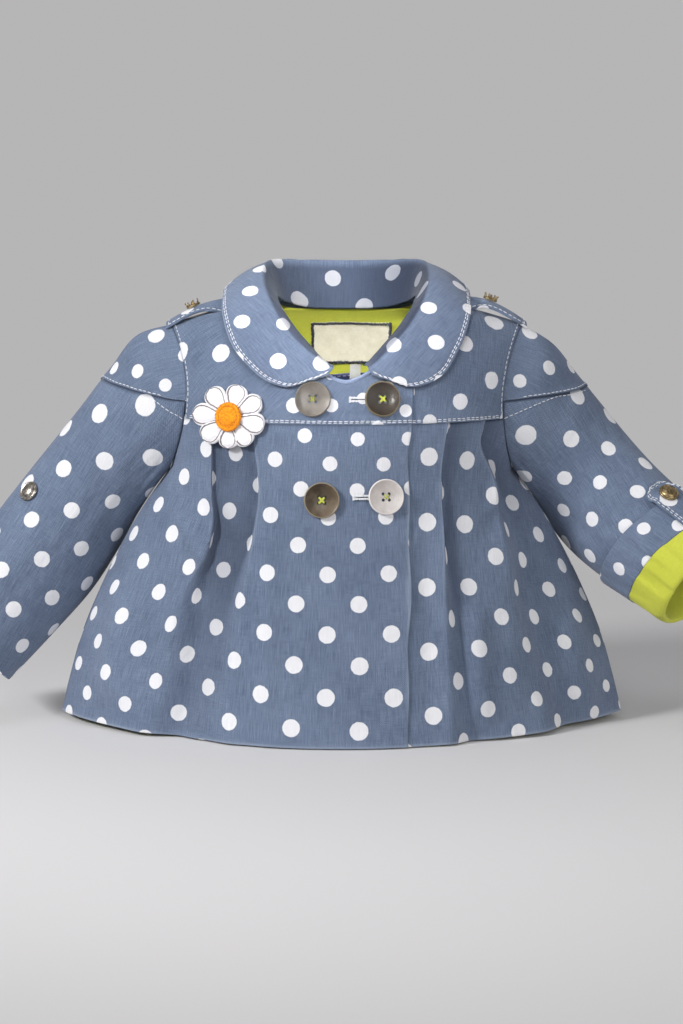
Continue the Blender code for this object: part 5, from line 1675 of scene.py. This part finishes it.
orange, surface, _, place = new_finish(
    "orange_cotton", Sheen_Weight=0.1, Specular_IOR_Level=0.25
)
weave = place.noise(1500, 2.0)
tufts = place.noise(750, 3.0)
feed(surface, Base_Color=tufts.between(0.3, 0.7).blend((0.72, 0.20, 0.005), (0.98, 0.37, 0.012)))
feed(surface, Roughness=0.75 + weave * 0.15)
feed(surface, Normal=(weave * 0.4 + tufts).bump(0.0006, 0.8))
orange_thread = thread_finish("orange_thread", (0.62, 0.22, 0.02), 0.6)
at, out = leaned(on_body(*DAISY_AT, DAISY_RISE + 0.0020)), body_out(*DAISY_AT)
MIDDLE_PROFILE = (
    (0, 0), (9.4, 0), (10.0, 0.7), (9.5, 1.5), (8.3, 1.7), (7.2, 1.1),
    (6.6, 1.5), (5.0, 2.3), (2.5, 2.7), (0, 2.8),
)
middle = spun(np.array(MIDDLE_PROFILE) / 1000, at, out)
made("daisy_middle", middle, orange, "orange_cloth", "daisy_centre")
frame_of, turn = placed(at, out), np.linspace(0, 2 * math.pi, 97)
for name, radius in (("daisy_middle_stitches", 0.0072), ("daisy_rim_stitches", 0.0098)):
    ring = [frame_of @ Vector((radius * math.cos(a), radius * math.sin(a), 0.0013)) for a in turn]
    rows = [(np.array(ring), np.tile(out, (len(turn), 1)))]
    stitched(name, rows, orange_thread, "orange_cloth", 0.0021, 0.0026, 0.00024)


# ================================================================ the shoulder straps
# A narrow folded strap bows up off each shoulder from under the collar. It is topstitched in white
# and backed with cream twill, and carries a little brass crown.


def aged_metal(name, scale, brightest, dark, pale, roughness):
    finish, surface, _, place = new_finish(name, Metallic=1.0)
    cloud = place.noise(scale, 3.0, 0.6)
    feed(surface, Base_Color=cloud.between(0.3, brightest).blend(dark, pale))
    feed(surface, Roughness=roughness + cloud * 0.25)
    return finish


brass = aged_metal("antique_brass", 700, 0.75, (0.16, 0.115, 0.055), (0.52, 0.40, 0.22), 0.28)
nickel = aged_metal("antique_nickel", 520, 0.80, (0.20, 0.18, 0.155), (0.58, 0.54, 0.49), 0.22)
CROWN_PROFILE = (
    (0, 0), (4.4, 0), (5.1, 0.5), (5.2, 1.1), (4.8, 1.5),
    (4.2, 1.2), (3.2, 1.0), (1.6, 1.3), (0, 1.5),
)
CROWN_POINTS = 7


def strap_middle(side, bowed, t):
    x = 0.0735 + 0.0555 * t
    bow = 0.0030 - 0.0018 * t + bowed * np.sin(math.pi * np.clip(t, 0, 1)) ** 0.9
    return np.stack((x, 0.001 + 0 * x, shoulder(x) + 0.0020 + bow), -1) * (side, 1, 1)


for side, name, bowed, crown_at in ((-1, "right", 0.0036, 0.645), (1, "left", 0.0056, 0.526)):
    t = np.linspace(0, 1, 60)
    share = np.linspace(1, -1, 25)[:, None]
    width = 0.0130 * np.clip(t / 0.25, 0.30, 1) * np.sqrt(1 - 0.45 * ease((t - 0.80) / 0.20))
    middle = strap_middle(side, bowed, t)
    droop = 0.0040 + 0.0065 * hump(t - 0.16, 0.24)
    droop = np.where(share < 0, droop, 0.0030 + 0 * t) * share**2
    grid = middle[None] + np.stack((0 * share * t, share * width * 0.96, -droop), -1)
    wave = 0.0005 * np.sin(t * 9 + side) * share**3
    grid = leaned(grid + wave[..., None] * (0, 0, 1)).transpose(1, 0, 2)
    grid = facing_way(grid, (0, 0, 1))
    grid = turned_edge(turned_edge(grid, "left", 0.0009), "right", 0.0009)
    piece = panel(
        f"epaulette_{name}_cloth", grid, spine=12, closer=1.1, finishes=(denim, cream)
    )
    sewn_in(piece, f"epaulette_{name}", grid)
    rows = [inset(grid[3:-1], edge, 0.0022, 0.0009) for edge in ("left", "right")]
    rows.append(inset(grid[:, 8:-8], "last", 0.0024))
    stitched(f"epaulette_{name}_topstitch", rows)
    before, at, after = leaned(strap_middle(side, bowed, crown_at + np.array((-0.04, 0, 0.04))))
    out = unit(np.cross(after - before, (0.0, side * 1.0, 0.0)))
    mesh = spun(np.array(CROWN_PROFILE) / 1000, at + out * 0.0003, out, 32, 3)
    frame_of = placed(at, out)
    for number in range(CROWN_POINTS):
        turn = Matrix.Rotation(2 * math.pi * number / CROWN_POINTS + 0.3, 4, "Z")
        splayed = Matrix.Translation((0.0044, 0, 0.0026)) @ Matrix.Rotation(0.30, 4, "Y")
        away = frame_of @ turn @ splayed
        bmesh.ops.create_cone(
            mesh, cap_ends=True, segments=10, radius1=0.00095, radius2=0.00030, depth=0.0030,
            matrix=away,
        )
        tip = away @ Matrix.Translation((0, 0, 0.0017))
        bmesh.ops.create_uvsphere(mesh, u_segments=10, v_segments=6, radius=0.00058, matrix=tip)
    for height, size in ((0.0020, 0.0015), (0.0036, 0.0009)):
        knob = frame_of @ Matrix.Translation((0, 0, height))
        bmesh.ops.create_uvsphere(mesh, u_segments=14, v_segments=8, radius=size, matrix=knob)
    made(f"epaulette_{name}_crown", mesh, brass, "brass_trim", f"epaulette_button_{name}")


# ================================================================ the sleeve tab and snaps
# A pointed tab holds the turned-up sleeve end: its tail goes down inside, and its point snaps shut
# on the outside. The other sleeve, let down, shows the snap that its own tab would close on.

TAB_ROWS = np.array(
    (  # place, rise, half width
        (0.722, 0.0021, 0.0045),
        (0.738, 0.0022, 0.0120),
        (0.754, 0.0028, 0.0140),
        (0.774, 0.0055, 0.0140),
        (0.800, 0.0056, 0.0140),
        (0.860, 0.0055, 0.0140),
        (0.930, 0.0055, 0.0140),
        (0.990, 0.0054, 0.0140),
    )
)
TAB_TURN, SLEEVE_RADIUS, TAB_FOLD, TAB_STITCHES = math.radians(37), 0.0415, 0.0008, (0.0016, 0.0034)
step = np.concatenate((np.linspace(0, 2, 21)[:-1], np.linspace(2, 7, 50)))
place, half_width = (np.interp(step, np.arange(8), TAB_ROWS[:, k])[:, None] for k in (0, 2))
rise = through(np.arange(8), TAB_ROWS[:, 1], step)[:, None]
turn = TAB_TURN + np.linspace(-1, 1, 41) * half_width / SLEEVE_RADIUS
grid = leaned(sleeve(1, place, turn, rise + 0.0002))
grid = outward(grid, (0.225, -0.010, -0.185))
for edge in ("left", "right", "first"):
    grid = turned_edge(grid, edge, TAB_FOLD)
piece = panel(
    "sleeve_tab_cloth", grid, grid[45, 33], 20, closer=1.1, wall=0.0007, finishes=(denim, denim)
)
sewn_in(piece, "sleeve_tab", grid)
rows = [inset(grid[6:], edge, at, TAB_FOLD) for edge in ("left", "right") for at in TAB_STITCHES]
rows += [inset(grid[:, 10:-10], "first", at, TAB_FOLD) for at in TAB_STITCHES]
stitched("sleeve_tab_topstitch", rows)

SNAP = (  # share of the radius, height in millimetres
    (0, 0), (0.90, 0), (1.0, 0.5), (0.985, 1.1), (0.93, 1.45), (0.86, 1.3),
    (0.80, 1.15), (0.74, 1.5), (0.66, 2.2), (0.48, 2.9), (0.24, 3.3), (0, 3.4),
)
for name, side, place, turn, rise, radius, metal in (
    ("tab_snap", 1, 0.786, math.radians(39), 0.0059, 0.0072, brass),
    ("sleeve_snap", -1, 0.586, math.radians(36), 0.0002, 0.0075, nickel),
):
    step = 0.01
    along = sleeve(side, place + step, turn) - sleeve(side, place - step, turn)
    around = sleeve(side, place, turn + step) - sleeve(side, place, turn - step)
    out = unit(np.cross(along, around)) * -side
    at = leaned(sleeve(side, place, turn, rise)) + out * 0.0002
    made(name + "_cap", spun(np.array(SNAP) * (radius, 0.001), at, out), metal, "brass_trim", name)
